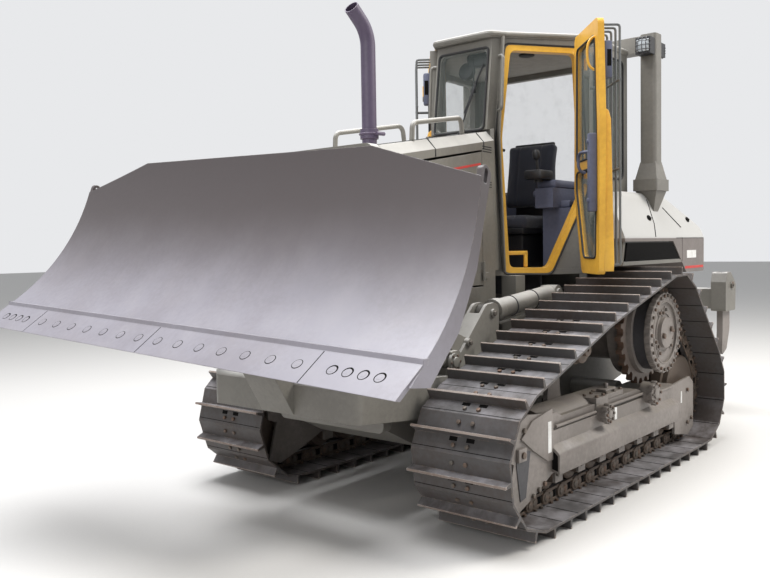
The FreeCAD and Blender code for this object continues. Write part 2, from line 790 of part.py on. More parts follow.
def trackFrame(side, y):
    half, plate = S.frameHalf, S.framePlate
    reach = treadFor(S.idlerFrontX.number, idlerZ.number) + S.idlerFlange + S.frameClear
    frontX, rearX = S.idlerFrontX - reach, S.idlerRearX + reach
    roofZ = rollerZ + S.rollerRadius + 26
    top = roofZ + 175
    body = prism("xz", (
        (rearX, roofZ), (frontX, roofZ), (frontX, top + 60), (frontX - 90, top + 60),
        (frontX - 160, top + 30), (rearX + 620, top + 30), (rearX + 470, top - 20),
        (rearX, top - 20)), y - (half - plate), y + (half - plate))
    recoil = cut(drum("x", frontX, y, S.recoilTopZ - S.recoilRadius, S.recoilRadius, -S.recoilLong, 0),
                 box(frontX - S.recoilLong - 10, frontX + 10, y - half, y + half, 0, roofZ))
    pieces = [body, recoil]
    for hand in (-1, 1):
        outer, inner = y + hand * half, y + hand * (half - plate)
        skirt = prism("xz", (
            (rearX, S.frameLowZ), (frontX, S.frameLowZ), (frontX, top - 30),
            (rearX + 500, top - 30), (rearX, top - 20)), inner, outer)
        front = prism("xz", (
            (frontX - 10, S.frameLowZ), (S.idlerFrontX - 150, 205), (S.idlerFrontX + 75, 130),
            (S.idlerFrontX + 170, 165), (S.idlerFrontX + 100, idlerZ - 20), (S.idlerFrontX + 172, idlerZ + 10),
            (S.idlerFrontX + 172, idlerZ + 125), (S.idlerFrontX - 40, idlerZ + 215),
            (frontX - 10, idlerZ + 180)), inner, outer)
        rear = prism("xz", (
            (rearX + 10, 150), (rearX + 10, top - 20), (S.idlerRearX + 10, idlerZ + 112),
            (S.idlerRearX - 70, idlerZ + 60), (S.idlerRearX - 70, 150), (S.idlerRearX + 40, 105)), inner, outer)
        pieces += [skirt, front, rear]
    rib = prism("yz", (
        (y + side * (half - 5), S.frameLowZ + 20), (y + side * (half + 30), S.frameLowZ + 22, 20),
        (y + side * (half + 46), S.frameLowZ + 60, 30), (y + side * (half + 40), S.frameLowZ + 120, 26),
        (y + side * (half - 5), S.frameLowZ + 150)), rearX + 20, frontX - 6)
    pieces.append(rib)
    # Bolted ends of the cross pins, and the pad over the recoil housing
    for x, z, radius in ((234, 504, 52), (-476, 524, 72)):
        pieces.append(drum("y", x, y, z, radius, side * (half - 30), side * (half + 58)))
    pieces.append(box(110, 270, y + side * 40, y + side * 150, top - 10, top + 62))
    # Roller shafts' saddles, and the idlers' shaft ends
    for index in range(7):
        x = rollerX(index)
        for hand in (-1, 1):
            pieces.append(box(x - 42, x + 42, y + hand * (half - plate), y + hand * half,
                              rollerZ - 34, S.frameLowZ + 10))
    # Carrier roller bracket
    pieces.append(prism("xz", (
        (S.carrierX - 90, top), (S.carrierX + 90, top), (S.carrierX + 36, S.carrierZ + 36, 30),
        (S.carrierX - 36, S.carrierZ + 36, 30)), y - side * (S.wheelHalf + 32), y - side * (S.wheelHalf + 62)))
    pieces.append(drum("y", S.carrierX, y, S.carrierZ, 30, -side * (S.wheelHalf + 62),
                       -side * (S.wheelHalf + 30 + S.seatGap)))
    return fuse(*pieces)


def finalDrive(side, y):
    x, z = S.sprocketX, S.sprocketZ
    out = lambda value: dim(value) * side
    teeth = featureFrom(sprocketShape(side))
    inner = drum("y", x, y, z, 210, out(S.hullHalf - trackY), out(-90))
    flange = drum("y", x, y, z, 300, out(-110), out(-22))
    hub = cone("y", x, y, z, 290, 290, out(22), out(60)) if side > 0 else cone("y", x, y, z, 290, 290,
                                                                             out(60), out(22))
    barrel = drum("y", x, y, z, S.driveHubRadius - 14, out(20), out(S.driveHubOut - 34))
    ring = drum("y", x, y, z, S.driveHubRadius, out(S.driveHubOut - 40), out(S.driveHubOut))
    dish = drum("y", x, y, z, S.driveHubRadius - 62, out(S.driveHubOut - 14), out(S.driveHubOut + 2))
    boss = drum("y", x, y, z, 105, out(S.driveHubOut - 20), out(S.driveHubOut + 12))
    return fuse(cut(fuse(inner, flange, teeth, hub, barrel, ring), dish), boss)


# Main frame, engine, hood

def mainFrame():
    half = S.hullHalf
    hull = prism("xz", (
        (S.hullRearX, 560), (S.hullRearX + 190, 450), (S.hullRearX + 480, S.hullLowZ), (1180, S.hullLowZ),
        (S.hullFrontX, 520), (S.hullFrontX, deckZ), (-280, deckZ), (-380, 1180), (-1080, 1180), (-1180, 1000),
        (S.hullRearX, 1000)), -half, half)
    pivots = drum("y", S.pivotX, 0, S.pivotZ, 55, -(S.armOut + 12), S.armOut + 12)
    caps = [drum("y", S.pivotX, 0, S.pivotZ, 78, hand * (S.armOut + S.sideClear), hand * (S.armOut + 18))
            for hand in (-1, 1)]
    pivotShaft = drum("y", S.sprocketX, 0, 470, 70, -(trackY - S.frameHalf), trackY - S.frameHalf)
    equalizer = box(230, 370, -(trackY - S.frameHalf), trackY - S.frameHalf, 440, 580)
    brackets = []
    for hand in (-1, 1):
        x, z, inner, outer = S.liftRearX, S.liftRearZ, S.liftY - 78, S.liftY - 48
        brackets.append(prism("xz", (
            (x - 232, 900), (x - 90, 780), (x + 40, 780), (x + 40, z + 54, 38), (x - 44, z + 54, 40), (x - 232, 1120)),
            hand * inner, hand * outer))
        brackets.append(box(x - 232, x - 120, hand * (half - 20), hand * outer, 860, 1100))
        brackets.append(box(x - 90, x + 40, hand * (half - 20), hand * outer, 780, deckZ))
        brackets.append(drum("y", x, 0, z, 34, hand * inner, hand * (S.liftY + 58)))
    return node("main_frame", fuse(hull, pivots, pivotShaft, equalizer, *caps, *brackets))


deckZ = Dim(820)
engineTopZ = Dim(1700)


def hoodZ(x):
    return S.hoodRearZ - (dim(x) - S.hoodRearX) * tangent(S.hoodSlope)


def hoodHalf(x):
    share = (dim(x) - S.hoodRearX) / (S.hoodFrontX - S.hoodRearX)
    return S.hoodRearHalf + share * (S.hoodFrontHalf - S.hoodRearHalf)


def hoodSection(x, inset, low):
    """Half-round shouldered section across the hood, as (y, z) corners seen from the front."""
    half, top = hoodHalf(x) - inset, hoodZ(x) - inset
    return ((-half, low), (half, low), (half, top - S.shoulderDrop * 0.6), (half - 60, top - 8),
            (-half + 60, top - 8), (-half, top - S.shoulderDrop * 0.6))


def sectionLoft(sections, frame=world):
    """A ruled loft along X between (x, corners in the YZ plane)."""
    body = document.addObject("PartDesign::Body", freshName("lofted"))
    sketches = [sketchOn(body, "yz", outline, x) for x, outline in sections]
    lofted = body.newObject("PartDesign::AdditiveLoft", freshName("loft"))
    lofted.Profile = sketches[0]
    lofted.Sections = sketches[1:]
    lofted.Ruled = True
    return put(body, frame)


def hood():
    low = S.shoulderDrop
    outer = sectionLoft([(x, hoodSection(x, 0, hoodZ(x) - low)) for x in (S.hoodRearX, S.hoodFrontX)])
    inner = sectionLoft([(x, hoodSection(x, S.hoodSheet, hoodZ(x) - low - 4))
                         for x in (S.hoodRearX - 2, S.hoodFrontX - S.hoodSheet)])
    stackHole = drum("z", S.stackX, S.stackY, 2000, S.stackRadius + 12, 0, 400)
    node("hood_top", cut(outer, inner, stackHole))

    taper = angleOf(S.hoodFrontHalf - S.hoodRearHalf, S.hoodFrontX - S.hoodRearX)
    cowls, doorDrop = [], S.sideClear * 2 + 2
    for side in (1, -1):
        wall = at(S.hoodRearX, S.hoodRearHalf * side, 0, (0, 0, 1), taper * side)
        rearTop, seamTop = hoodZ(S.hoodRearX) - low - S.seatGap, hoodZ(S.doorSeamX) - low - doorDrop
        frontTop = hoodZ(S.hoodFrontX) - low - doorDrop
        seam = S.doorSeamX - S.hoodRearX
        reach = S.hoodFrontX - S.hoodRearX
        low0, low1 = -S.hoodSheet * side, dim(0) * side
        cowls.append(prism("xz", ((0, S.cabFloorZ - 60), (seam - 3, S.cabFloorZ - 60),
                                  (seam - 3, seamTop + doorDrop - S.seatGap),
                                  (0, rearTop)), low0, low1, wall))
        cowls.append(prism("xz", ((0, deckZ + S.seatGap), (reach - 4, deckZ + S.seatGap),
                                  (reach - 4, S.panelLowZ - 12), (0, S.panelLowZ - 12)), low0, low1, wall))
        door = prism("xz", ((seam + 3, S.panelLowZ), (reach - 8, S.panelLowZ), (reach - 8, frontTop),
                            (seam + 3, seamTop)), low0, low1, wall)
        hinges = []
        for z in (S.panelLowZ + 90, S.panelLowZ + 640):
            axisX, axisY = seam + 12, side * 15
            hinges += [drum("z", axisX, axisY, 0, 9, z, z + 60, wall),
                       box(axisX - 8, axisX + 8, -side * 3, axisY, z + 4, z + 56, wall)]
            cowls += [drum("z", axisX, axisY, 0, 9, z - 62, z - S.seatGap, wall),
                      box(seam - 60, seam - 4, -side * 3, side * 15, z - 50, z - 12, wall),
                      box(seam - 12, axisX, side * 6.5, side * 18, z - 50, z - 12, wall)]
        node("engine_door_" + sideNames[side], fuse(door, *hinges))
    firewall = prism("yz", hoodSection(S.hoodRearX + 60, S.hoodSheet - 6, deckZ + S.seatGap), S.hoodRearX + 30,
                     S.hoodRearX + 60)
    firewall = cut(firewall, box(S.hoodRearX, S.hoodRearX + 90, -600, 600,
                                 hoodZ(S.hoodRearX) - low - S.sideClear * 2, 3000))
    node("cowl", fuse(firewall, *cowls))

    node("engine_block", box(380, 1180, -240, 240, deckZ + S.seatGap, engineTopZ))
    radiatorGuard()
    exhaust()


def radiatorGuard():
    top = hoodZ(S.hoodFrontX)
    half = S.hoodFrontHalf
    shell = prism("yz", ((-half, 520, 40), (half, 520, 40), (half, top - 70, 50), (half - 70, top, 60),
                         (-half + 70, top, 60), (-half, top - 70, 50)), S.hoodFrontX + S.seatGap,
                  S.hoodFrontX + S.guardThick)
    window = prism("yz", ((-half + 60, 900, 40), (half - 60, 900, 40), (half - 60, top - 130, 60),
                          (-half + 60, top - 130, 60)), S.hoodFrontX - 10, S.hoodFrontX + S.guardThick + 10)
    bars = [box(S.hoodFrontX + 18, S.hoodFrontX + 34, -half + 50, half - 50, 900 + index * 62, 900 + index * 62 + 26)
            for index in range(1, 17)]
    posts = [box(S.hoodFrontX + 10, S.hoodFrontX + 46, y - 12, y + 12, 890, top - 120) for y in (-170, 0, 170)]
    node("radiator_guard", fuse(cut(shell, window), *bars, *posts))
    node("radiator", box(S.hoodFrontX - 150, S.hoodFrontX - 30, -330, 330, deckZ + S.seatGap, top - 150))


def exhaust():
    foot = engineTopZ + S.seatGap
    x, y = S.stackX, S.stackY
    skin = hoodZ(x)
    pipe = drum("z", x, y, 0, S.stackRadius, foot, S.stackBendZ)
    bend = document.addObject("Part::Torus", freshName("bend"))
    bind(bend, Radius1=S.stackBend, Radius2=S.stackRadius)
    bend.Angle3 = 50
    put(bend, at(x + S.stackBend, y, S.stackBendZ, (0, 0, 1), 180) * at(0, 0, 0, (1, 0, 0), 90))
    tipX = x + S.stackBend * (1 - cosine(50))
    tipZ = S.stackBendZ + S.stackBend * sine(50)
    tip = drum("z", 0, 0, 0, S.stackRadius, 0, 96, at(tipX, y, tipZ, (0, 1, 0), 50))
    mouth = drum("z", 0, 0, 0, S.stackRadius - 5, 30, 120, at(tipX, y, tipZ, (0, 1, 0), 50))
    collar = drum("z", x, y, 0, S.stackRadius + 11, skin + 30, skin + 86)
    node("exhaust_stack", fuse(cut(fuse(pipe, bend, tip), mouth), collar))


# Cab

wallAngle = angleOf(S.cabPillarHalf - S.cabHalf, S.cabPillarX - S.cabSideX)
wallLong = root((S.cabPillarX - S.cabSideX) * (S.cabPillarX - S.cabSideX)
                + (S.cabHalf - S.cabPillarHalf) * (S.cabHalf - S.cabPillarHalf))


def doorWall(side):
    """Frame of a door's wall: X forward along the wall from the rear pillar, Y outward times side."""
    return at(S.cabSideX, S.cabHalf * side, 0, (0, 0, 1), wallAngle * side)


# Front edge of the door's wall: (height, how far it reaches past the front pillar's corner)
frontReach = ((S.cabFloorZ + S.cabFloorThick, 36), (2241, 80), (S.cabRoofZ, 32))
# Door opening, (distance from the rear pillar, height)
openingCorners = ((577, 2827, 30), (104, 2818, 30), (56, 1888, 40), (309, 1358, 40), (597, 1364, 25), (643, 2241, 120))
# Door outline outside the opening
doorCorners = ((606, 2896, 40), (76, 2896, 40), (54, 1872, 50), (225, 1332, 50), (616, 1332, 30), (647, 2241, 150))
doorHingeZ = (1960, 2680)
# Window in the door: upper and lower panes
upperPane = ((547, 2806, 50), (132, 2806, 50), (118, 2060, 30), (580, 2060, 30), (585, 2241, 90))
lowerPane = ((575, 2000, 30), (110, 2000, 30), (108, 1892, 40), (272, 1430, 50), (555, 1430, 40))


def grow(corners, by):
    """Moves corners in towards the outline's middle by a share of their distance."""
    middleU = sum(corner[0] for corner in corners) / len(corners)
    middleV = sum(corner[1] for corner in corners) / len(corners)
    grown = []
    for corner in corners:
        du, dv = corner[0] - middleU, corner[1] - middleV
        long = math.hypot(du, dv)
        grown.append((corner[0] + du / long * by, corner[1] + dv / long * by) + tuple(corner[2:]))
    return tuple(grown)


def cabShell():
    wall = S.cabWall
    low, high = S.cabFloorZ + S.cabFloorThick + S.seatGap, S.cabRoofZ
    ledgeZ = S.fenderLowZ + 30
    trackIn = S.trackGauge / 2 - S.shoeWidth / 2 - 12
    sidePanes = []
    for side in (1, -1):
        frame = doorWall(side)
        panel = prism("xz", ((0, low), (wallLong + frontReach[0][1], low), (wallLong + frontReach[1][1], frontReach[1][0]),
                             (wallLong + frontReach[2][1], high), (0, high)), -wall * side, dim(0), frame)
        opening = prism("xz", openingCorners, -(wall + 40) * side, 40 * side, frame)
        rear = box(S.cabRearX + wall, S.cabSideX - 10 - S.seatGap, (S.cabHalf - wall) * side, S.cabHalf * side,
                   ledgeZ + S.seatGap, high)
        corner = box(S.cabSideX - 33, S.cabSideX + 12, (S.cabHalf - wall) * side, S.cabHalf * side, low, high)
        window = prism("xz", ((S.cabRearX + 120, 2000, 60), (S.cabSideX - 70, 2000, 60),
                              (S.cabSideX - 70, high - 70, 60), (S.cabRearX + 120, high - 70, 60)),
                       (S.cabHalf - wall - 20) * side, (S.cabHalf + 20) * side)
        sidePanes.append(prism("xz", ((S.cabRearX + 110, 1990, 60), (S.cabSideX - 60, 1990, 60),
                                      (S.cabSideX - 60, high - 60, 60), (S.cabRearX + 110, high - 60, 60)),
                               (S.cabHalf + S.seatGap) * side, (S.cabHalf + S.seatGap + S.glassThick) * side))
        hinges = []
        for z in doorHingeZ:
            clearN = S.doorStandOff + S.doorThick + S.sideClear
            hinges.append(prism("xy", ((0, -8 * side), (34, -8 * side), (44, clearN * side),
                                       (S.hingeS + 16, (clearN + 4) * side), (S.hingeS + 16, (S.hingeOut + 16) * side),
                                       (S.hingeS - 30, (S.hingeOut + 16) * side)), z - 32, z - S.seatGap, frame))
            hinges.append(drum("z", S.hingeS, S.hingeOut * side, z, 8, -20, 96, frame))
        node("cab_side_" + sideNames[side], fuse(cut(fuse(panel, rear, corner), opening, window), *hinges))
    back = cut(box(S.cabRearX, S.cabRearX + wall - S.seatGap, -S.cabHalf, S.cabHalf, low, high),
               *[box(S.cabRearX - 5, S.cabRearX + wall + 5, side * (trackIn - 20 - S.seatGap), side * (S.cabHalf + 9),
                     0, ledgeZ + S.seatGap) for side in (1, -1)])
    backWindow = prism("yz", ((-460, 1950, 60), (460, 1950, 60), (460, high - 70, 60), (-460, high - 70, 60)),
                       S.cabRearX - 20, S.cabRearX + wall + 20)
    sidePanes.append(prism("yz", ((-472, 1938, 60), (472, 1938, 60), (472, high - 58, 60), (-472, high - 58, 60)),
                           S.cabRearX - S.seatGap - S.glassThick, S.cabRearX - S.seatGap))
    node("cab_rear", cut(back, backWindow))

    # Windshield wall, leaning back, with the narrow walls that join it to the door pillars
    rake = at(S.glassLowX, 0, S.glassLowZ, (0, 1, 0), -S.glassRake)
    lowAlong, highAlong = dim(-2), (high - S.glassLowZ) / cosine(S.glassRake)
    edge = S.glassHalf + 26
    shield = prism("yz", ((-edge, lowAlong), (edge, lowAlong), (edge, highAlong - 2), (-edge, highAlong - 2)),
                   -S.cabWall * 0.7, 0, rake)
    shieldHole = prism("yz", ((-S.glassHalf + 12, 12, 40), (S.glassHalf - 12, 12, 40),
                              (S.glassHalf - 12, S.glassTall - 12, 40), (-S.glassHalf + 12, S.glassTall - 12, 40)),
                       -S.cabWall - 20, 20, rake)
    sidePanes.append(prism("yz", ((-S.glassHalf, 0, 40), (S.glassHalf, 0, 40), (S.glassHalf, S.glassTall, 40),
                                  (-S.glassHalf, S.glassTall, 40)), S.seatGap,
                           S.seatGap + S.glassThick, rake))
    # Narrow walls from the door panels' front edges to the windshield, and below it to the cowl
    pillars = []
    lean = tangent(S.glassRake)
    sill = S.glassLowZ - 4

    def frontEdge(height, side):
        (z0, s0), (z1, s1), (z2, s2) = [(dim(z), dim(reach)) for z, reach in frontReach]
        near, far, base, top = (s0, s1, z0, z1) if height < z1 else (s1, s2, z1, z2)
        along = wallLong + near + (far - near) * (height - base) / (top - base) + S.seatGap
        outer = (S.cabSideX + along * cosine(wallAngle), (S.cabHalf + along * sine(wallAngle)) * side)
        inner = (outer[0] + S.cabWall * 0.6 * sine(wallAngle), outer[1] - S.cabWall * 0.6 * cosine(wallAngle) * side)
        return outer, inner

    for side in (1, -1):
        lower, upper = [], []
        for height in (low, dim(frontReach[1][0]), sill):
            lower.append((height, ((S.hoodRearX - S.seatGap, (S.hoodRearHalf - 1) * side), *frontEdge(height, side),
                                   (S.hoodRearX - S.seatGap, (S.hoodRearHalf - 30) * side))))
        for height in (sill, high):
            shieldX = S.glassLowX - (height - S.glassLowZ) * lean
            upper.append((height, ((shieldX - 2, (edge - 1) * side), *frontEdge(height, side),
                                   (shieldX - 34, (edge - 16) * side))))
        pillars += [loft(lower), loft(upper)]
    node("cab_front", cut(fuse(shield, *pillars), shieldHole))
    node("cab_glass", group(*sidePanes))

    plan = lambda out: (
        (S.cabRearX - out, -S.cabHalf - out), (S.cabSideX, -S.cabHalf - out, 60),
        (S.cabPillarX + out, -S.cabPillarHalf - out, 40), (S.glassLowX - 40, -S.glassHalf - 20 - out, 40),
        (S.glassLowX - 40, S.glassHalf + 20 + out, 40), (S.cabPillarX + out, S.cabPillarHalf + out, 40),
        (S.cabSideX, S.cabHalf + out, 60), (S.cabRearX - out, S.cabHalf + out))
    roofBase = prism("xy", plan(S.roofLip), S.cabRoofZ + S.seatGap, S.cabRoofZ + S.roofEdge)
    crown = loft(((S.cabRoofZ + S.roofEdge, (
        (S.cabRearX, -S.cabHalf + 20), (S.cabSideX, -S.cabHalf + 20), (S.cabPillarX - 10, -S.cabPillarHalf),
        (S.glassLowX - 60, -S.glassHalf), (S.glassLowX - 60, S.glassHalf), (S.cabPillarX - 10, S.cabPillarHalf),
        (S.cabSideX, S.cabHalf - 20), (S.cabRearX, S.cabHalf - 20))), (S.cabRoofZ + S.roofEdge + S.roofCrown, (
            (S.cabRearX + 90, -S.cabHalf + 160), (S.cabSideX - 20, -S.cabHalf + 160),
            (S.cabPillarX - 110, -S.cabPillarHalf + 70), (S.glassLowX - 190, -S.glassHalf + 60),
            (S.glassLowX - 190, S.glassHalf - 60), (S.cabPillarX - 110, S.cabPillarHalf - 70),
            (S.cabSideX - 20, S.cabHalf - 160), (S.cabRearX + 90, S.cabHalf - 160)))))
    node("cab_roof", fuse(roofBase, crown))

    floorPlan = (
        (S.cabRearX, -trackIn), (S.cabSideX - 10, -trackIn), (S.cabSideX - 10, -S.cabHalf), (S.cabSideX, -S.cabHalf),
        (S.cabPillarX + 10, -S.cabPillarHalf + 4), (S.hoodRearX + 26, -S.glassHalf), (S.hoodRearX + 26, S.glassHalf),
        (S.cabPillarX + 10, S.cabPillarHalf - 4), (S.cabSideX, S.cabHalf), (S.cabSideX - 10, S.cabHalf),
        (S.cabSideX - 10, trackIn), (S.cabRearX, trackIn))
    floor = prism("xy", floorPlan, S.cabFloorZ, S.cabFloorZ + S.cabFloorThick)
    # Raised ledges that carry the rear side walls over the tracks
    ledges = []
    for side in (1, -1):
        ledges.append(box(S.cabRearX, S.cabSideX - 34, side * (trackIn - 20), side * trackIn, S.cabFloorZ, ledgeZ))
        ledges.append(box(S.cabRearX, S.cabSideX - 34, side * (trackIn - 20), side * S.cabHalf, S.fenderLowZ, ledgeZ))
    legs = [box(x, x + 120, hand * 250, hand * 360, base + S.seatGap, S.cabFloorZ)
            for x, base in ((-980, dim(1180)), (-60, deckZ)) for hand in (-1, 1)]
    node("cab_floor", fuse(floor, *ledges, *legs))


def cabInside():
    base = S.cabFloorZ + S.cabFloorThick + S.seatGap
    seat = fuse(box(-720, -330, -190, 190, base, base + 262),
                prism("xz", ((-800, base + 260), (-270, base + 260, 40), (-270, base + 390, 60), (-800, base + 390)),
                      -245, 245),
                prism("xz", ((-800, base + 380), (-680, base + 380, 20), (-770, base + 1010, 50),
                             (-890, base + 1010, 50)), -235, 235))
    node("seat", seat)
    consoles = []
    for side in (1, -1):
        consoles.append(box(-820, -420, side * 300, side * 520, base, base + 420))
        consoles.append(box(-760, -330, side * 290, side * 430, base + 420, base + 560))
    node("consoles", group(fuse(*consoles[:2]), fuse(*consoles[2:])))
    dash = fuse(box(40, 130, -150, 150, base, base + 640),
                prism("xz", ((-60, base + 600), (120, base + 600), (120, base + 800, 30), (20, base + 860, 40),
                             (-60, base + 700, 20)), -170, 170))
    node("dashboard", dash)


def cabDoor(side):
    name = sideNames[side]
    frame = doorWall(side)
    if side > 0:
        frame = frame * at(S.hingeS, S.hingeOut, 0) * at(0, 0, 0, (0, 0, 1), S.doorOpen) * at(
            -S.hingeS, -S.hingeOut, 0)
    near, far = S.doorStandOff * side, (S.doorStandOff + S.doorThick) * side
    slab = prism("xz", doorCorners, near, far, frame)
    panes = [prism("xz", corners, near - 30 * side, far + 30 * side, frame) for corners in (upperPane, lowerPane)]
    knuckles = []
    for z in doorHingeZ:
        knuckle = fuse(drum("z", S.hingeS, S.hingeOut * side, z, 16, 0, 80, frame),
                       box(S.hingeS - 12, S.hingeS + 12, far - 4 * side, S.hingeOut * side, z, z + 80, frame))
        knuckles.append(cut(knuckle, drum("z", S.hingeS, S.hingeOut * side, z, 8 + S.runClear, -5, 90, frame)))
    node("door_frame_" + name, fuse(cut(slab, *panes), *knuckles))
    middle = (S.doorStandOff + S.doorThick / 2) * side
    glass = [prism("xz", grow(corners, -0.5), middle - 4, middle + 4, frame) for corners in (upperPane, lowerPane)]
    node("door_glass_" + name, group(*glass))


# Rear body, roll-over posts

bodyHalf = S.cabHalf + S.bodyBeyond
postY = S.cabHalf + S.postBeyond


def rearBody():
    half, top, tankLowZ = bodyHalf, S.tankTopZ, dim(1532)
    profile = ((S.cabSideX - 10, tankLowZ), (S.cabSideX - 10, 1720, 80), (-720, top, 120), (-1380, top, 120),
               (S.tankRearX, 1640, 60), (S.tankRearX, 1290, 30), (-1590, 1290), (-1320, tankLowZ))
    wedge = prism("xz", profile, -half, half)
    section = prism("yz", ((-half, 1200), (half, 1200), (half, 1560, 60), (half - 130, top + 10, 100),
                           (-half + 130, top + 10, 100), (-half, 1560, 60)), -2400, 0)
    whole = common(wedge, section)
    recess = box(S.cabRearX - 14 - S.glassThick, 200, -S.cabHalf - 14 - S.glassThick, S.cabHalf + 14 + S.glassThick,
                 1200, 2400)
    node("fuel_tank", cut(whole, recess))
    fenders, grilles = [], []
    for side in (1, -1):
        inner, outer = S.cabHalf + S.seatGap + S.glassThick + 2, half - 16
        deck = prism("xz", ((-430, S.fenderLowZ), (-470, tankLowZ - S.seatGap), (-1320, tankLowZ - S.seatGap),
                            (-1500.4, S.fenderLowZ)), side * inner, side * outer)
        lip = prism("xz", ((-424, S.fenderLowZ), (-432, S.fenderLowZ + 26), (-1470, S.fenderLowZ + 26),
                           (-1500, S.fenderLowZ)), side * inner, side * (half - 2))
        fenders.append(fuse(deck, lip))
        grilles.append(prism("xz", ((-466, S.fenderLowZ + 30), (-498, tankLowZ - 8), (-1312, tankLowZ - 8),
                                    (-1460, S.fenderLowZ + 30)), side * (outer + S.seatGap), side * (outer + 12)))
    node("fenders", group(*fenders))
    node("side_grilles", group(*grilles))
    rearFrame = box(S.hullRearX, -1200, -340, 340, 1000 + S.seatGap, 1290 - S.seatGap)
    node("rear_case", rearFrame)
    return whole


def rollOver(carrier):
    """Two posts on tapered feet that stand on the rear body's shoulders, and the beam across their tops."""
    pieces = []
    a = S.postSide / 2
    flangeX, flangeY = a + 56, a + 30
    low, high = S.postFlangeZ, S.postFlangeZ + 84
    for side in (1, -1):
        y = postY * side

        def square(x0, y0):
            return ((S.postX - x0, y - y0), (S.postX + x0, y - y0), (S.postX + x0, y + y0), (S.postX - x0, y + y0))

        pieces.append(prism("xy", ((S.postX - a, y - a, 26), (S.postX + a, y - a, 26), (S.postX + a, y + a, 26),
                                   (S.postX - a, y + a, 26)), high - 2, S.postTopZ))
        pieces.append(loft(((high - 1, square(flangeX - 20, flangeY - 10)), (high + 130, square(a - 4, a - 4)))))
        pieces.append(prism("xy", [(*corner, 12) for corner in square(flangeX, flangeY)], low, high))
        foot = loft(((low - 180, square(a - 30, a - 34)), (low + 1, square(flangeX - 22, flangeY - 12))))
        pieces.append(cut(foot, carrier))
    beam = box(S.postX - 52, S.postX + 52, -postY, postY, S.postTopZ - 128, S.postTopZ - 8)
    node("roll_over_frame", fuse(beam, *pieces))
    lamps = []
    for side in (1, -1):
        face = S.postSide / 2 + S.seatGap
        lamps.append(box(S.postX + face, S.postX + 150, side * (postY - 55), side * (postY + 55), 2890, 3010))
        lamps.append(box(S.postX - 150, S.postX - face, side * (postY - 50), side * (postY + 50), 2900, 3000))
    node("work_lamps", group(*lamps))


# Push frame and blade

def pushFrame():
    outer, inner = S.armOut, S.armOut - S.armThick
    plan = prism("xy", (
        (S.pivotX - 200, -outer), (1885, -outer, 60), (1885, outer, 60), (S.pivotX - 200, outer),
        (S.pivotX - 200, inner), (1640, inner, 40), (1640, -inner, 40), (S.pivotX - 200, -inner)), 300, 1200)
    profile = prism("xz", (
        (S.pivotX - 95, S.pivotZ - 60, 60), (S.pivotX, S.pivotZ - 95, 90), (1000, 560, 300), (1905, 656, 30),
        (1885, 850, 50), (1600, 820, 100), (1100, 800, 100), (S.pivotX + 90, S.pivotZ + 150, 80),
        (S.pivotX - 95, S.pivotZ + 95, 90)), -outer, outer)
    pieces, pots = [common(plan, profile)], []
    for side in (1, -1):
        for face, thick in ((outer, -S.earPlate), (inner, S.earPlate)):
            pieces.append(prism("xz", (
                (S.pivotX + 40, S.pivotZ + 100), (S.pivotX + 480, S.pivotZ + 200), (S.pivotX + 440, S.pivotZ + 360, 60),
                (S.liftPinX + 64, S.liftPinZ + 58, 62), (S.liftPinX - 78, S.liftPinZ + 66, 60),
                (S.pivotX + 30, S.pivotZ + 330, 100)), side * face, side * (face + thick)))
        # Sloped web that joins the two ear plates ahead of the pin
        pieces.append(prism("xz", (
            (S.pivotX + 470, S.pivotZ + 210), (S.pivotX + 436, S.pivotZ + 352), (S.liftPinX + 120, S.liftPinZ + 8),
            (S.liftPinX + 105, S.liftPinZ - 8), (S.pivotX + 400, S.pivotZ + 330), (S.pivotX + 420, S.pivotZ + 200)),
            side * (outer - 5), side * (inner + 5)))
        pieces.append(drum("y", S.liftPinX, 0, S.liftPinZ, 26, side * (outer - 2), side * (outer + 14)))
        pieces.append(drum("y", S.liftPinX, 0, S.liftPinZ, 26, side * (inner + 2), side * (inner - 8)))
    for side in (1, -1):
        x, y, z = S.angleRearX, S.angleRearY * side, S.angleRearZ
        pieces.append(prism("xz", (
            (x - 75, z - 130), (x + 40, z - 120), (x + 22, z + 62, 12), (x - 70, z + 62, 40)),
            side * inner, side * (outer + 8)))
        pieces.append(drum("y", x, 0, z, S.capRadius, side * (outer - 2), side * (outer + 16)))
        reach = S.angleBall + S.seatGap
        pots.append(drum("y", x, y, z, reach, reach * -1, reach))
        pots.append(box(x, x + 120, y - 36, y + 36, z - 36, z + 54))
        # Box-shaped hose guard that is bolted to the ear
        pieces.append(prism("xz", ((950, 905), (1250, 1012), (1212, 1110), (880, 985)), side * (outer - 90),
                            side * (outer - 18)))
        pieces.append(drum("y", 905, 0, 965, 24, side * (outer - 20), side * (outer + 12)))
    nose = prism("xz", (
        (1650, 700), (1890, 660), (S.ballX - 60, S.ballZ - 180, 60), (S.ballX + 60, S.ballZ - 20, 60),
        (S.ballX - 10, S.ballZ + 120, 60), (S.ballX - 180, S.ballZ + 20, 100), (1640, 850)), -120, 120)
    eye = drum("z", 0, 0, 0, 96, -78, 78, ballFrame)
    clearCut = [box(-260, 400, -140, 140, 78, 400, ballFrame), box(-110, 400, -140, 140, -400, -78, ballFrame)]
    clearFront = box(0, 300, -160, 160, -500, 500, ballFrame)
    nose = cut(nose, *clearCut, clearFront)
    bore = drum("z", 0, 0, 0, 40 + S.runClear, -200, 200, ballFrame)
    pivotBore = drum("y", S.pivotX, 0, S.pivotZ, 55 + S.runClear, -900, 900)
    return node("push_frame", cut(fuse(nose, eye, *pieces), bore, pivotBore, *pots))


ballFrame = at(S.ballX, 0, S.ballZ, (0, 1, 0), -S.bladePitch)
bladeFrame = ballFrame * at(0, 0, 0, (1, 0, 0), -S.bladeRoll)


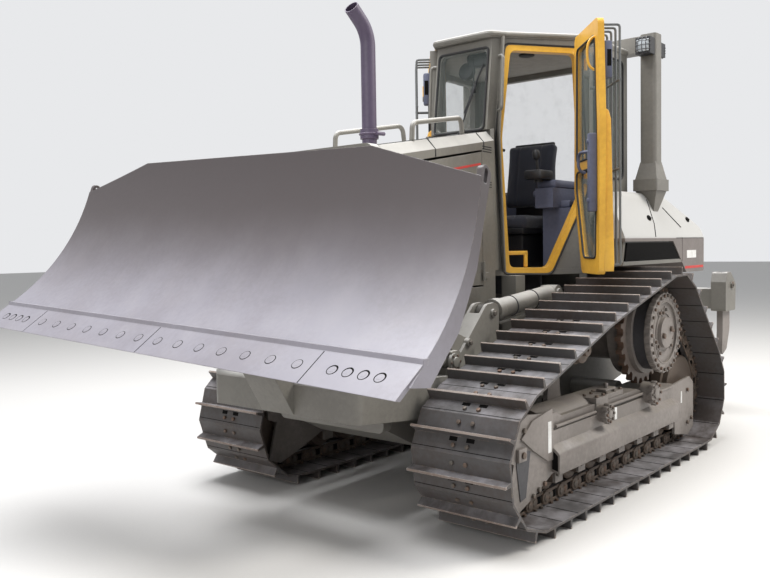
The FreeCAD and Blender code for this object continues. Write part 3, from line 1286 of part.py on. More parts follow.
def swivel():
    """Fork on the push frame's nose, with the wings that the angle cylinders push."""
    plates = [prism("xy", ((-70, -96, 60), (130, -130), (130, 130), (-70, 96, 60)), low, high, ballFrame)
              for low, high in ((84, 124), (-124, -84))]
    block = box(106, 176, -130, 130, -124, 124, ballFrame)
    pin = drum("z", 0, 0, 0, 40, -124, 124, ballFrame)
    room, plate = S.rodBall + S.angleDrift, 22
    wing = prism("yz", (
        (-S.swivelHalf - 64, -room - plate), (S.swivelHalf + 64, -room - plate), (S.swivelHalf + 64, room + plate, 20),
        (S.swivelHalf - 90, room + plate, 30), (130, 110), (-130, 110), (-S.swivelHalf + 90, room + plate, 30),
        (-S.swivelHalf - 64, room + plate, 20)), 116, 176, ballFrame)
    ears = []
    for side in (1, -1):
        x, y = S.swivelPinX, S.swivelHalf
        for low, high in ((room, room + plate), (-room - plate, -room)):
            ears.append(prism("xy", ((x - 46, side * (y - 50), 40), (150, side * (y - 60)),
                                     (150, side * (y + 60)), (x - 46, side * (y + 50), 40)),
                              low, high, ballFrame))
        for low, high in ((room + plate - 2, room + plate + 12), (-room - plate - 12, -room - plate + 2)):
            ears.append(drum("z", x, side * y, 0, 24, low, high, ballFrame))
    spigot = drum("x", 0, 0, 0, 60, 150, 262, ballFrame)
    tower = [prism("yz", ((-S.tiltInY - 80, 60), (-S.tiltInY + 110, 60), (-S.tiltInY + 46, S.tiltZ + 46, 44),
                          (-S.tiltInY - 50, S.tiltZ + 46, 44)), low, high, ballFrame)
             for low, high in ((S.tiltX - 54, S.tiltX - 34),)]
    tower.append(prism("yz", ((-S.tiltInY - 70, 170), (-S.tiltInY + 80, 170), (-S.tiltInY + 46, S.tiltZ + 46, 44),
                              (-S.tiltInY - 50, S.tiltZ + 46, 44)), S.tiltX + 34, S.tiltX + 52, ballFrame))
    tower.append(prism("yz", ((-S.tiltInY - 76, 90), (-S.tiltInY + 92, 90), (-S.tiltInY + 70, 236),
                              (-S.tiltInY - 60, 236)), S.tiltX - 50, S.tiltX - 4, ballFrame))
    tower.append(prism("yz", ((-S.tiltInY - 70, 170), (-S.tiltInY + 80, 170), (-S.tiltInY + 72, 236),
                              (-S.tiltInY - 62, 236)), S.tiltX - 8, S.tiltX + 50, ballFrame))
    tower.append(drum("x", 0, -S.tiltInY, S.tiltZ, 24, S.tiltX - 60, S.tiltX + 56, ballFrame))
    node("swivel", fuse(block, pin, wing, spigot, *plates, *ears, *tower))


# Front face of the blade, (ahead of the ball, above it) at the edge plates, half way up and at the top
moldPoints = ((399, -199), (262, 270), (338, 756))


def moldFront(height):
    """How far ahead of the ball the blade's front face lies at a height above the ball."""
    (x0, z0), (x1, z1), (x2, z2) = moldPoints
    slope = (x1 - x0) / (z1 - z0)
    bend = ((x2 - x1) / (z2 - z1) - slope) / (z2 - z0)
    return x0 + slope * (height - z0) + bend * (height - z0) * (height - z1)


def mouldboard():
    """Curved front plate of the blade, in the blade's frame: side profile cut to the front outline."""
    thick = S.moldThick.number

    def arcThrough(offset):
        points = []
        for x, z in moldPoints:
            points.append(FreeCAD.Vector(x - offset, 0, z))
        return Part.Arc(*points)

    half = S.bladeHalf.number + 5
    front, back = arcThrough(0), arcThrough(thick)
    edges = [front.toShape(), Part.LineSegment(front.EndPoint, back.EndPoint).toShape(), back.toShape(),
             Part.LineSegment(back.StartPoint, front.StartPoint).toShape()]
    section = Part.Face(Part.Wire(Part.__sortEdges__(edges)))
    section.translate(FreeCAD.Vector(0, -half, 0))
    sheetShape = section.extrude(FreeCAD.Vector(0, 2 * half, 0))
    return featureFrom(sheetShape, bladeFrame)


def blade():
    plate = mouldboard()
    outline = ((-S.bladeHalf, -400), (S.bladeHalf, -400), (S.bladeHalf, -199), (S.bladeTopHalf, 610),
               (S.chamferHalf, 757), (-S.chamferHalf, 757), (-S.bladeTopHalf, 610), (-S.bladeHalf, -199))
    silhouette = prism("yz", outline, -200, 700, bladeFrame)
    board = common(plate, silhouette)
    edge = prism("xz", ((399, -199), (404, -180), (378, -168), (373, -187), (455, -352), (481, -360)),
                 -S.bladeHalf, S.bladeHalf, bladeFrame)
    lowBeam = prism("xz", ((384, -196), (300, -40), (286, 60), (206, 60), (206, -60), (330, -240)),
                    -S.bladeHalf + 60, S.bladeHalf - 60, bladeFrame)
    topBeam = prism("xz", ((312, 700), (268, 560), (190, 580), (190, 640)), -S.chamferHalf - 250,
                    S.chamferHalf + 250, bladeFrame)
    ribs = []
    for y in (-1100, -700, 700, 1100):
        front = [(moldFront(z) - 8, z) for z in (40, 155, 270, 380, 490, 600)]
        ribs.append(prism("xz", (*front, (210, 600), (200, 270), (210, 20)), y - 12, y + 12, bladeFrame))
    for side in (1, -1):
        lean = angleOf(S.bladeHalf - S.bladeTopHalf, 809)
        endFrame = bladeFrame * at(0, side * S.bladeHalf, -199, (1, 0, 0), lean * side)
        front = [(moldFront(z - 199) - 5, z) for z in (815, 720, 630, 540, 470, 360, 260, 130, 10)]
        plate = prism("xz", ((440, -100), (330, -60), (228, 190), (196, 460), (222, 740), (230, 862, 24),
                             (302, 884, 24), *front), -side * 26, dim(0), endFrame)
        hole = prism("xz", ((248, 798, 11), (273, 798, 11), (280, 864, 11), (255, 860, 11)), -40, 40, endFrame)
        ribs.append(cut(plate, hole))
    # Ears for the tilt cylinder's rod, standing off the front plate
    x, y, z = S.tiltX, S.tiltOutY, S.tiltZ
    for low, high in ((x - 52, x - 34), (x + 34, x + 52)):
        ribs.append(prism("yz", ((y - 44, z - 44, 40), (y + 44, z - 44, 40), (y + 60, z + 84), (y - 44, z + 84)),
                          low, high, bladeFrame))
    ribs.append(prism("xz", ((x - 52, z + 62), (x + 74, z + 62), (x + 74, z + 84), (x - 52, z + 84)), y - 44, y + 60,
                      bladeFrame))
    centre = box(206, 262, -150, 150, -100, 140, bladeFrame)
    socket = drum("x", 0, 0, 0, 60 + S.runClear, 190, 270, bladeFrame)
    shape = fuse(board, edge, lowBeam, topBeam, centre, *ribs)
    node("blade", cut(shape, socket))


# Cylinders

def liftCylinders():
    barrels, rods = [], []
    for side in (1, -1):
        start = (S.liftRearX, S.liftY * side, S.liftRearZ)
        end = (S.liftPinX, S.liftY * side, S.liftPinZ)
        frame = aim(start, end)
        full = distance(start, end)
        long = full - 84
        barrel = drum("z", 0, 0, 0, S.liftBarrel, 70, long, frame)
        gland = drum("z", 0, 0, 0, S.liftBarrel + 8, long - 60, long, frame)
        bore = drum("z", 0, 0, 0, S.liftRod + S.runClear, 120, full, frame)
        eye = drum("y", S.liftRearX, S.liftY * side, S.liftRearZ, 56, -42, 42)
        neck = drum("z", 0, 0, 0, 44, 20, 80, frame)
        pinBore = drum("y", S.liftRearX, S.liftY * side, S.liftRearZ, 34 + S.runClear, -60, 60)
        barrels.append(cut(fuse(barrel, gland, neck, eye), bore, pinBore))
        rod = drum("z", 0, 0, 0, S.liftRod, 140, full - 20, frame)
        rodEye = drum("y", S.liftPinX, S.liftY * side, S.liftPinZ, 54, -28, 28)
        rods.append(fuse(rod, rodEye))
    node("lift_barrels", group(*barrels))
    node("lift_rods", group(*rods))


def angleCylinders():
    for side in (1, -1):
        start = (S.angleRearX, S.angleRearY * side, S.angleRearZ)
        tip = ballFrame.point(S.swivelPinX, S.swivelHalf * side, 0)
        end = (tip.x, tip.y, tip.z)
        frame = aim(start, end)
        full = distance(start, end)
        barrel = drum("z", 0, 0, 0, S.angleBarrel, 70, full - 370, frame)
        gland = drum("z", 0, 0, 0, S.angleBarrel + 5, full - 420, full - 370, frame)
        bore = drum("z", 0, 0, 0, S.angleRod + S.runClear, 120, full, frame)
        joint = ball(0, 0, 0, S.angleBall, frame)
        neck = drum("z", 0, 0, 0, 26, 20, 90, frame)
        node("angle_barrel_" + sideNames[side], cut(fuse(barrel, gland, joint, neck), bore))
        rod = drum("z", 0, 0, 0, S.angleRod, 395, full - 14, frame)
        node("angle_rod_" + sideNames[side], fuse(rod, ball(0, 0, full, S.rodBall, frame)))


def tiltCylinder():
    """Across the blade's back, from the swivel's tower to the blade's ears."""
    start = (S.tiltX, -S.tiltInY, S.tiltZ)
    end = (S.tiltX, S.tiltOutY * cosine(S.bladeRoll) + S.tiltZ * sine(S.bladeRoll),
           S.tiltZ * cosine(S.bladeRoll) - S.tiltOutY * sine(S.bladeRoll))
    frame = ballFrame * aim(start, end)
    full = distance(start, end)
    barrel = fuse(drum("z", 0, 0, 0, S.tiltBarrel, 66, full - 170, frame), drum("z", 0, 0, 0, 30, 20, 70, frame))
    gland = drum("z", 0, 0, 0, S.tiltBarrel + 5, full - 205, full - 170, frame)
    bore = drum("z", 0, 0, 0, S.tiltRod + S.runClear, 80, full, frame)
    eye = drum("x", *start, 46, -28, 28, ballFrame)
    pinBore = drum("x", *start, 24 + S.runClear, -60, 60, ballFrame)
    node("tilt_barrel", cut(fuse(barrel, gland, eye), bore, pinBore))
    rod = drum("z", 0, 0, 0, S.tiltRod, 145, full - 20, frame)
    node("tilt_rod", fuse(rod, drum("x", *end, 40, -28, 28, ballFrame)))


# Ripper

def ripper():
    """Parallelogram ripper: two lower links, one wide upper link, a beam with three shanks, two cylinders."""
    x, lowZ = S.ripperLowX, S.ripperLowZ
    highZ = lowZ + S.ripperRise
    jackZ = highZ + 250
    px, pz = x - S.ripperLink * cosine(S.ripperTilt), lowZ + S.ripperLink * sine(S.ripperTilt)
    riseX, riseZ = px, pz + S.ripperRise
    jackX, jackEndZ = px - 80, pz + 262
    mountX = S.hullRearX - S.seatGap
    pinRadius, outerY, innerY = 24, 310, 126
    eyeHalf = 40
    plates = ((innerY, innerY + 24), (outerY - 70, outerY - 46), (outerY + 46, outerY + 70))

    bracket = [box(mountX - 30, mountX, -385, 385, lowZ - 70, jackZ - 60)]
    for side in (1, -1):
        for y0, y1 in plates:
            bracket.append(prism("xz", (
                (mountX - 20, lowZ - 66), (x - 30, lowZ - 50, 30), (x - 52, lowZ + 20, 40), (x - 40, highZ),
                (x - 46, jackZ + 34, 40), (x + 34, jackZ + 40, 30), (mountX - 20, jackZ - 70)), side * y0, side * y1))
        bracket.append(drum("y", x, 0, lowZ, pinRadius, side * 240, side * 380))
        bracket.append(drum("y", x, 0, jackZ, pinRadius, side * 240, side * 380))
    bracket.append(drum("y", x, 0, highZ, pinRadius, -160, 160))
    towPlates = [prism("xz", ((mountX - 1, 440), (mountX - 175, 440), (mountX - 175, 520), (mountX - 1, 520)),
                       -66, 66)]
    towSlot = box(mountX - 250, mountX - 62, -90, 90, 464, 496)
    towHole = drum("z", mountX - 120, 0, 480, S.towPinRadius, -200, 200)
    node("ripper_bracket", cut(fuse(*bracket, *towPlates), towSlot, towHole))

    lower = []
    for side in (1, -1):
        y = side * outerY
        link = ripperBar(x, lowZ, px, pz, y, eyeHalf, 34, 48)
        lower.append(link)
    node("ripper_lower_links", group(*lower))
    node("ripper_upper_link", ripperBar(x, highZ, riseX, riseZ, 0, innerY - S.sideClear, 30, 46))

    beamTopZ = pz + 245
    beamX = px - 130
    carrier = []
    for side in (1, -1):
        for y0, y1 in plates:
            carrier.append(prism("xz", (
                (px + 48, pz - 20, 40), (px - 10, pz - 52, 40), (beamX - 60, pz - 40), (beamX - 60, pz + 310, 30),
                (px + 46, pz + 310, 44)), side * y0, side * y1))
        carrier.append(drum("y", px, 0, pz, pinRadius, side * 240, side * 380))
        for y0, y1 in ((outerY - 80, outerY - 60), (outerY + 60, outerY + 80)):
            carrier.append(drum("y", jackX, 0, jackEndZ, pinRadius + 8, side * y0, side * y1))
    carrier.append(drum("y", riseX, 0, riseZ, pinRadius, -160, 160))
    beam = box(beamX - S.ripperBeamDeep, beamX, -S.ripperBeamHalf, S.ripperBeamHalf,
               beamTopZ - S.ripperBeamTall, beamTopZ)
    pockets, slots, shanks = [], [], []
    middle = beamX - S.ripperBeamDeep / 2 - 26
    for y in (-S.shankOut, dim(0), S.shankOut):
        half = S.ripperBeamHalf - S.shankOut
        pockets.append(prism("xz", (
            (beamX + 14, beamTopZ - S.ripperBeamTall - 20, 20), (beamX + 14, beamTopZ + 60), (beamX - 20, beamTopZ + 145, 20),
            (beamX - 120, beamTopZ + 145, 40), (beamX - 258, beamTopZ + 40, 60),
            (beamX - 240, beamTopZ - S.ripperBeamTall - 20, 20)), y - half, y + half))
        slots.append(box(middle - 92, middle + 92, y - S.shankThick / 2 - S.seatGap, y + S.shankThick / 2 + S.seatGap,
                         pz - 300, pz + 700))
        tip = beamTopZ - S.ripperBeamTall - S.shankReach
        shank = prism("xz", (
            (middle - 90, beamTopZ + 120), (middle + 90, beamTopZ + 120), (middle + 90, tip + 200),
            (middle + 102, tip + 20), (middle + 84, tip), (middle - 14, tip + 36, 30), (middle - 100, tip + 220, 200),
            (middle - 90, beamTopZ - 160)), y - S.shankThick / 2, y + S.shankThick / 2)
        pinZ = beamTopZ + 30
        shanks.append(cut(shank, drum("y", beamX - 140, y, pinZ, 22 + S.runClear, -60, 60)))
        pockets.append(drum("y", beamX - 140, y, pinZ, 22, -half - 8, half + 8))
    body = cut(fuse(beam, *carrier, *pockets[0::2]), *slots)
    node("ripper_beam", fuse(body, *pockets[1::2]))
    node("ripper_shanks", group(*shanks))

    barrels, rods = [], []
    for side in (1, -1):
        y = dim(outerY) * side
        start, end = (x, y, jackZ), (jackX, y, jackEndZ)
        frame = aim(start, end)
        full = distance(start, end)
        barrel = fuse(drum("z", 0, 0, 0, 36, 30, full - 80, frame), drum("y", x, y, jackZ, 44, -eyeHalf, eyeHalf))
        barrels.append(cut(barrel, drum("z", 0, 0, 0, 20 + S.runClear, 70, full, frame),
                           drum("y", x, y, jackZ, pinRadius + S.runClear, -60, 60)))
        rods.append(fuse(drum("z", 0, 0, 0, 20, 80, full - 12, frame),
                         drum("y", jackX, y, jackEndZ, 36, -eyeHalf, eyeHalf)))
    node("ripper_barrels", group(*barrels))
    node("ripper_rods", group(*rods))


def ripperBar(x0, z0, x1, z1, y, half, thick, eyeRadius):
    """A link between two pins, its eyes bored for running on them."""
    y = dim(y)
    frame = aim((x0, y, z0), (x1, y, z1))
    bar = box(-thick, thick, -half, half, 0, distance((x0, y, z0), (x1, y, z1)), frame)
    eyes = [drum("y", x, y, z, eyeRadius, -half, half) for x, z in ((x0, z0), (x1, z1))]
    bores = [drum("y", x, y, z, 24 + S.runClear, -half - 9, half + 9) for x, z in ((x0, z0), (x1, z1))]
    return cut(fuse(bar, *eyes), *bores)


def rails():
    pieces = []
    for side in (1, -1):
        lift = 100
        frontZ, rearZ = hoodZ(1087).number - 8 + 3.5, hoodZ(485).number - 8 + 3.5
        pieces.append(tube(((1087, side * 301, frontZ), (1080, side * 301, frontZ + lift),
                            (500, side * 236, rearZ + lift), (485, side * 234, rearZ)), 15, 45))
    for side in (1, -1):
        x, y = S.cabSideX + (wallLong + 45) * cosine(wallAngle), S.cabHalf + (wallLong + 45) * sine(wallAngle)
        x, y = x.number + 8, y.number - 2
        footX, footY, out = x + 3.4, y + 2.6, 46
        pieces.append(tube(((footX, side * footY, 2420), (footX + out * 0.7, side * (footY + out), 2420),
                            (footX + out * 0.7 - 24, side * (footY + out), 2780), (footX - 10, side * (footY + 3), 2780)),
                           11, 24))
    node("hand_rails", group(*pieces))


def build():
    undercarriage()
    mainFrame()
    hood()
    cabShell()
    cabInside()
    for side in (1, -1):
        cabDoor(side)
    carrier = rearBody()
    rollOver(carrier)
    pushFrame()
    swivel()
    blade()
    liftCylinders()
    angleCylinders()
    tiltCylinder()
    ripper()
    rails()


def problems():
    found = []
    for item in document.Objects:
        if "Invalid" in item.State or "Error" in item.State:
            found.append("%s (%s) did not build" % (item.Name, item.Label))
    for item in nodes:
        if item.Shape.isNull() or not item.Shape.isValid() or not item.Shape.Solids:
            found.append("%s has no valid solid" % item.Label)
    return found


def export():
    os.makedirs("parts", exist_ok=True)
    for item in nodes:
        item.Shape.exportStep(os.path.join("parts", item.Label + ".step"))


build()
document.recompute()
faults = problems()
if faults:
    raise RuntimeError("\n".join(faults))
export()
for item in nodes:
    bounds = item.Shape.BoundBox
    print("%-22s %2d solids  x %6.0f %6.0f  y %6.0f %6.0f  z %6.0f %6.0f" % (
        item.Label, len(item.Shape.Solids), bounds.XMin, bounds.XMax, bounds.YMin, bounds.YMax, bounds.ZMin,
        bounds.ZMax))
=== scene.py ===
import math

import bmesh
import bpy
from mathutils import Matrix, Vector


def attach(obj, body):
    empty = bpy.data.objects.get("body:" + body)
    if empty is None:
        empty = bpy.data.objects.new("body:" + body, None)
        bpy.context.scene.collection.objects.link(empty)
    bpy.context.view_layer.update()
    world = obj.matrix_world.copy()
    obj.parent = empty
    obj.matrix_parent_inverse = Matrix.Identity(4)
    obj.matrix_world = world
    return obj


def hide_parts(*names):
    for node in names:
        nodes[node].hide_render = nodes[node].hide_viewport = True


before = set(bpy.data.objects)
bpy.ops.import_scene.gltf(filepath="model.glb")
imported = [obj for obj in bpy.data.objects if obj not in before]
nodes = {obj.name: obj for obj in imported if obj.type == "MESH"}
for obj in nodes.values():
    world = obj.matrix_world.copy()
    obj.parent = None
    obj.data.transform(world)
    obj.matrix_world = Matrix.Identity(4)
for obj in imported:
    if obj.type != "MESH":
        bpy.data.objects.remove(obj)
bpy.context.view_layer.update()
print("frame loaded:", len(nodes), "nodes")

# Camera

camera = {
    "place": (4.8448, 3.2295, 1.522),
    "azimuth": 219.95,  # degrees from +X, seen from above
    "elevation": -2.887,
    "roll": -0.971,
    "lens": 38.658,
    "sensor": 36.0,
}


def addCamera(spec):
    azimuth, elevation, roll = (math.radians(spec[key]) for key in ("azimuth", "elevation", "roll"))
    flat = math.cos(elevation)
    forward = Vector((flat * math.cos(azimuth), flat * math.sin(azimuth), math.sin(elevation)))
    right = forward.cross(Vector((0, 0, 1))).normalized()
    up = right.cross(forward)
    turnedRight = right * math.cos(roll) + up * math.sin(roll)
    turnedUp = -right * math.sin(roll) + up * math.cos(roll)
    data = bpy.data.cameras.new("camera")
    data.sensor_width = spec["sensor"]
    data.lens = spec["lens"]
    data.clip_end = 200
    item = bpy.data.objects.new("camera", data)
    bpy.context.collection.objects.link(item)
    facing = Matrix((turnedRight, turnedUp, -forward)).transposed().to_4x4()
    item.matrix_world = Matrix.Translation(spec["place"]) @ facing
    bpy.context.scene.camera = item


addCamera(camera)
bpy.context.scene.view_settings.view_transform = "Standard"

# Shader building


class Flow:  # a socket of a node tree, with arithmetic
    def __init__(self, tree, socket):
        self.tree, self.socket = tree, socket

    def maths(self, operation, *others, clamp=False):
        inputs = {0: self}
        inputs.update({place + 1: value for place, value in enumerate(others)})
        return self.tree.add("Math", {"operation": operation, "use_clamp": clamp}, inputs)

    def __add__(self, other):
        return self.maths("ADD", other)

    def __radd__(self, other):
        return self.maths("ADD", other)

    def __sub__(self, other):
        return self.maths("SUBTRACT", other)

    def __rsub__(self, other):
        return self.tree.add("Math", {"operation": "SUBTRACT"}, {0: other, 1: self})

    def __mul__(self, other):
        return self.maths("MULTIPLY", other)

    def __rmul__(self, other):
        return self.maths("MULTIPLY", other)

    def __pow__(self, other):
        return self.maths("POWER", other)

    def above(self, low, high):  # 0 at low, 1 at high, clamped
        return self.tree.add("MapRange", {"clamp": True}, {"Value": self, "From Min": low, "From Max": high})

    def soft(self, low, high):  # the same with soft ends
        return self.tree.add("MapRange", {"clamp": True, "interpolation_type": "SMOOTHSTEP"},
                             {"Value": self, "From Min": low, "From Max": high})

    def part(self, axis):  # one number of a vector
        return self.tree.add("SeparateXYZ", {}, {"Vector": self}, output=axis)


class Tree:  # builds the nodes of one material or world
    def __init__(self, nodeTree):
        self.nodeTree = nodeTree
        nodeTree.nodes.clear()

    def add(self, kind, settings=None, values=None, output=0):
        item = self.nodeTree.nodes.new("ShaderNode" + kind)
        for key, value in (settings or {}).items():
            if key == "ramp":
                self.fillRamp(item, value)
            else:
                setattr(item, key, value)
        for key, value in (values or {}).items():
            self.feed(item.inputs[key], value)
        return Flow(self, item.outputs[output]) if len(item.outputs) else item

    def feed(self, socket, value):
        if isinstance(value, Flow):
            self.nodeTree.links.new(value.socket, socket)
        elif isinstance(value, (tuple, list)) and len(value) == 3 and socket.type == "RGBA":
            socket.default_value = (*value, 1)
        else:
            socket.default_value = value

    def fillRamp(self, item, stops):
        elements = item.color_ramp.elements
        while len(elements) > len(stops):
            elements.remove(elements[-1])
        while len(elements) < len(stops):
            elements.new(1)
        for element, (place, tone) in zip(elements, stops):
            element.position = place
            element.color = (*tone, 1) if isinstance(tone, tuple) else (tone, tone, tone, 1)

    def mix(self, factor, low, high):
        item = self.nodeTree.nodes.new("ShaderNodeMix")
        item.data_type = "RGBA"
        self.feed(item.inputs[0], factor)
        for place, value in ((6, low), (7, high)):
            if isinstance(value, Flow):
                self.nodeTree.links.new(value.socket, item.inputs[place])
            else:
                item.inputs[place].default_value = (*value, 1)
        return Flow(self, item.outputs[2])

    def place(self):
        return self.add("TexCoord", output="Object")

    def facing(self):
        return self.add("TexCoord", output="Normal")

    def noise(self, scale, detail=3, roughness=0.55, shift=0):
        source = self.place()
        if shift:
            source = self.add("Mapping", {}, {"Vector": source, "Location": (shift,) * 3})
        values = {"Vector": source, "Scale": scale, "Detail": detail, "Roughness": roughness}
        return self.add("TexNoise", {}, values)

    def bump(self, height, strength, distance, normal=None):
        values = {"Height": height, "Strength": strength, "Distance": distance}
        if normal is not None:
            values["Normal"] = normal
        return self.add("Bump", {}, values)

    def rounded(self, radius, samples=4):
        return self.add("Bevel", {"samples": samples}, {"Radius": radius})

    def edges(self, radius, low, high, samples=4):  # 1 on sharp edges
        bent = self.rounded(radius, samples)
        true = self.add("NewGeometry", output="Normal")
        dot = self.add("VectorMath", {"operation": "DOT_PRODUCT"}, {0: bent, 1: true}, output="Value")
        return (1 - dot).above(low, high)


def newMaterial(name):
    material = bpy.data.materials.new(name)
    material.use_nodes = True
    tree = Tree(material.node_tree)
    shader = material.node_tree.nodes.new("ShaderNodeBsdfPrincipled")
    output = material.node_tree.nodes.new("ShaderNodeOutputMaterial")
    material.node_tree.links.new(shader.outputs[0], output.inputs["Surface"])
    return material, tree, shader


def tone(red, green, blue):  # display colour, 0 to 255, as a linear one
    values = []
    for value in (red, green, blue):
        value /= 255
        values.append(value / 12.92 if value <= 0.04045 else ((value + 0.055) / 1.055) ** 2.4)
    return tuple(values)


# Materials: paint with dust on upward faces and worn edges, with painted light on the body's upward faces and
# the rear body's top and painted shade on the upper blade, plain finishes, then glass, chrome and fabric


def bladeUpperShade(tree):  # 0 on the blade's lower part, 1 at its top: the share of painted shade that darkens the upper blade
    high = tree.add("VectorMath", {"operation": "DOT_PRODUCT"},
                    {0: tree.place(), 1: (-0.4617, 0.0340, 0.8864)}, output="Value")  # up the raised blade
    return (high - 0.04 + tree.noise(2.2, 3) * 0.10).soft(-0.12, 0.58) * 0.96


def tankLitTop(tree):  # 1 on the rear body's upper part, which is painted paler as painted light from above
    return tree.place().part("Z").above(1.554, 1.557)


def sprocketBand(tree):  # 1 on the tooth rings in the middle of each track
    across = tree.place().part("Y").maths("ABSOLUTE", 0)
    return across.above(0.861, 0.864) * (1 - across.above(0.906, 0.909)) * 0.85


paints = {
    # body paint: its pale upward faces are partly dust and mostly painted light from above, the even share
    # being the painted light
    "bodyPaint": {"colour": tone(118, 115, 108), "dark": tone(94, 90, 85), "worn": tone(150, 148, 140),
                  "dust": tone(200, 198, 194), "dustAmount": 0.75, "evenTopLight": 0.8, "roughness": 0.42,
                  "chips": 0.25},
    "bladePaint": {"colour": tone(134, 131, 139), "dark": tone(118, 113, 119), "worn": tone(176, 168, 158),
                   "dust": tone(176, 171, 170), "dustAmount": 0.12, "roughness": 0.40, "chips": 0.35,
                   # second colour: painted shade on the blade's upper part
                   "second": tone(70, 63, 63), "where": bladeUpperShade},
    "trackSteel": {"colour": tone(76, 74, 74), "dark": tone(60, 45, 36), "worn": tone(158, 140, 124),
                   "dust": tone(146, 143, 146), "dustAmount": 0.75, "roughness": 0.55, "chips": 0.9},
    "frameSteel": {"colour": tone(127, 120, 115), "dark": tone(88, 82, 77), "worn": tone(146, 140, 128),
                   "dust": tone(128, 120, 106), "dustAmount": 0.5, "roughness": 0.5, "chips": 0.4},
    "edgeRust": {"colour": tone(138, 126, 118), "dark": tone(98, 70, 54), "worn": tone(196, 192, 188),
                 "dust": tone(150, 144, 138), "dustAmount": 0.5, "roughness": 0.5, "chips": 0.9},
    "tankBand": {"colour": tone(118, 110, 106), "dark": tone(98, 91, 87), "worn": tone(150, 148, 140),
                 "dust": tone(140, 132, 124), "dustAmount": 0.25, "roughness": 0.4, "chips": 0.25,
                 # second colour: painted light on the rear body's top
                 "second": tone(176, 175, 172), "where": tankLitTop},
    # side grilles near black with little gloss: painted shade of the opening behind them
    "grilleShade": {"colour": tone(15, 14, 14), "dark": tone(9, 9, 9), "worn": tone(34, 32, 31),
                    "dust": tone(26, 24, 23), "dustAmount": 0.1, "roughness": 0.9, "chips": 0.1,
                    "specular": 0.1},
    "doorPaint": {"colour": tone(226, 174, 62), "dark": tone(190, 138, 44), "worn": tone(238, 208, 130),
                  "dust": tone(214, 190, 140), "dustAmount": 0.2, "roughness": 0.35, "chips": 0.2},
    "darkPaint": {"colour": tone(62, 61, 64), "dark": tone(44, 43, 46), "worn": tone(96, 94, 92),
                  "dust": tone(104, 98, 90), "dustAmount": 0.35, "roughness": 0.5, "chips": 0.3},
    "blackPaint": {"colour": tone(32, 32, 35), "dark": tone(22, 22, 25), "worn": tone(70, 70, 72),
                   "dust": tone(80, 76, 70), "dustAmount": 0.25, "roughness": 0.45, "chips": 0.2},
    "burntSteel": {"colour": tone(80, 69, 90), "dark": tone(54, 45, 60), "worn": tone(134, 96, 82),
                   "dust": tone(110, 100, 100), "dustAmount": 0.1, "roughness": 0.45, "chips": 0.3},
    "cabPlastic": {"colour": tone(88, 92, 112), "dark": tone(66, 69, 86), "worn": tone(120, 122, 136),
                   "dust": tone(120, 116, 112), "dustAmount": 0.2, "roughness": 0.62, "chips": 0.1},
    "wornSteel": {"colour": tone(92, 80, 70), "dark": tone(58, 48, 42), "worn": tone(150, 112, 84),
                  "dust": tone(96, 84, 70), "dustAmount": 0.4, "roughness": 0.65, "chips": 0.7},
}
paints["driveSteel"] = {**paints["frameSteel"], "second": tone(92, 66, 50), "where": sprocketBand}
simples = {
    "stripeRed": {"colour": tone(196, 52, 48), "dirt": tone(150, 70, 62), "mottle": 0.5, "roughness": 0.42},
    "plateWhite": {"colour": tone(222, 222, 220), "dirt": tone(176, 172, 166), "mottle": 0.5, "roughness": 0.5},
    "rubber": {"colour": tone(26, 26, 28), "dirt": tone(52, 50, 48), "mottle": 0.6, "roughness": 0.7},
    "guardPaint": {"colour": tone(96, 98, 98), "dirt": tone(76, 76, 74), "mottle": 0.5, "roughness": 0.4},
    "headliner": {"colour": tone(150, 146, 140), "dirt": tone(128, 124, 118), "mottle": 0.4, "roughness": 0.9},
    "lampGlass": {"colour": tone(196, 202, 206), "dirt": tone(150, 152, 150), "mottle": 0.4, "roughness": 0.12},
    "boltSteel": {"colour": tone(98, 94, 88), "dirt": tone(120, 84, 62), "mottle": 0.7, "roughness": 0.5,
                  "metal": 0.5},
    # near-black fill of holes, slots, seams and gaps: painted shade inside them
    "holeShade": {"colour": tone(16, 15, 15), "dirt": tone(30, 28, 26), "mottle": 0.5, "roughness": 0.85,
                 "specular": 0.1},
}
glass = {"colour": tone(112, 121, 118), "roughness": 0.04, "edge": 0.8, "smudge": 0.05, "least": 0.10}
chrome = {"bright": tone(200, 200, 202), "dull": tone(160, 158, 156)}
fabric = {"light": tone(58, 61, 74), "dark": tone(38, 40, 50), "weave": 90, "sheen": 0.3}


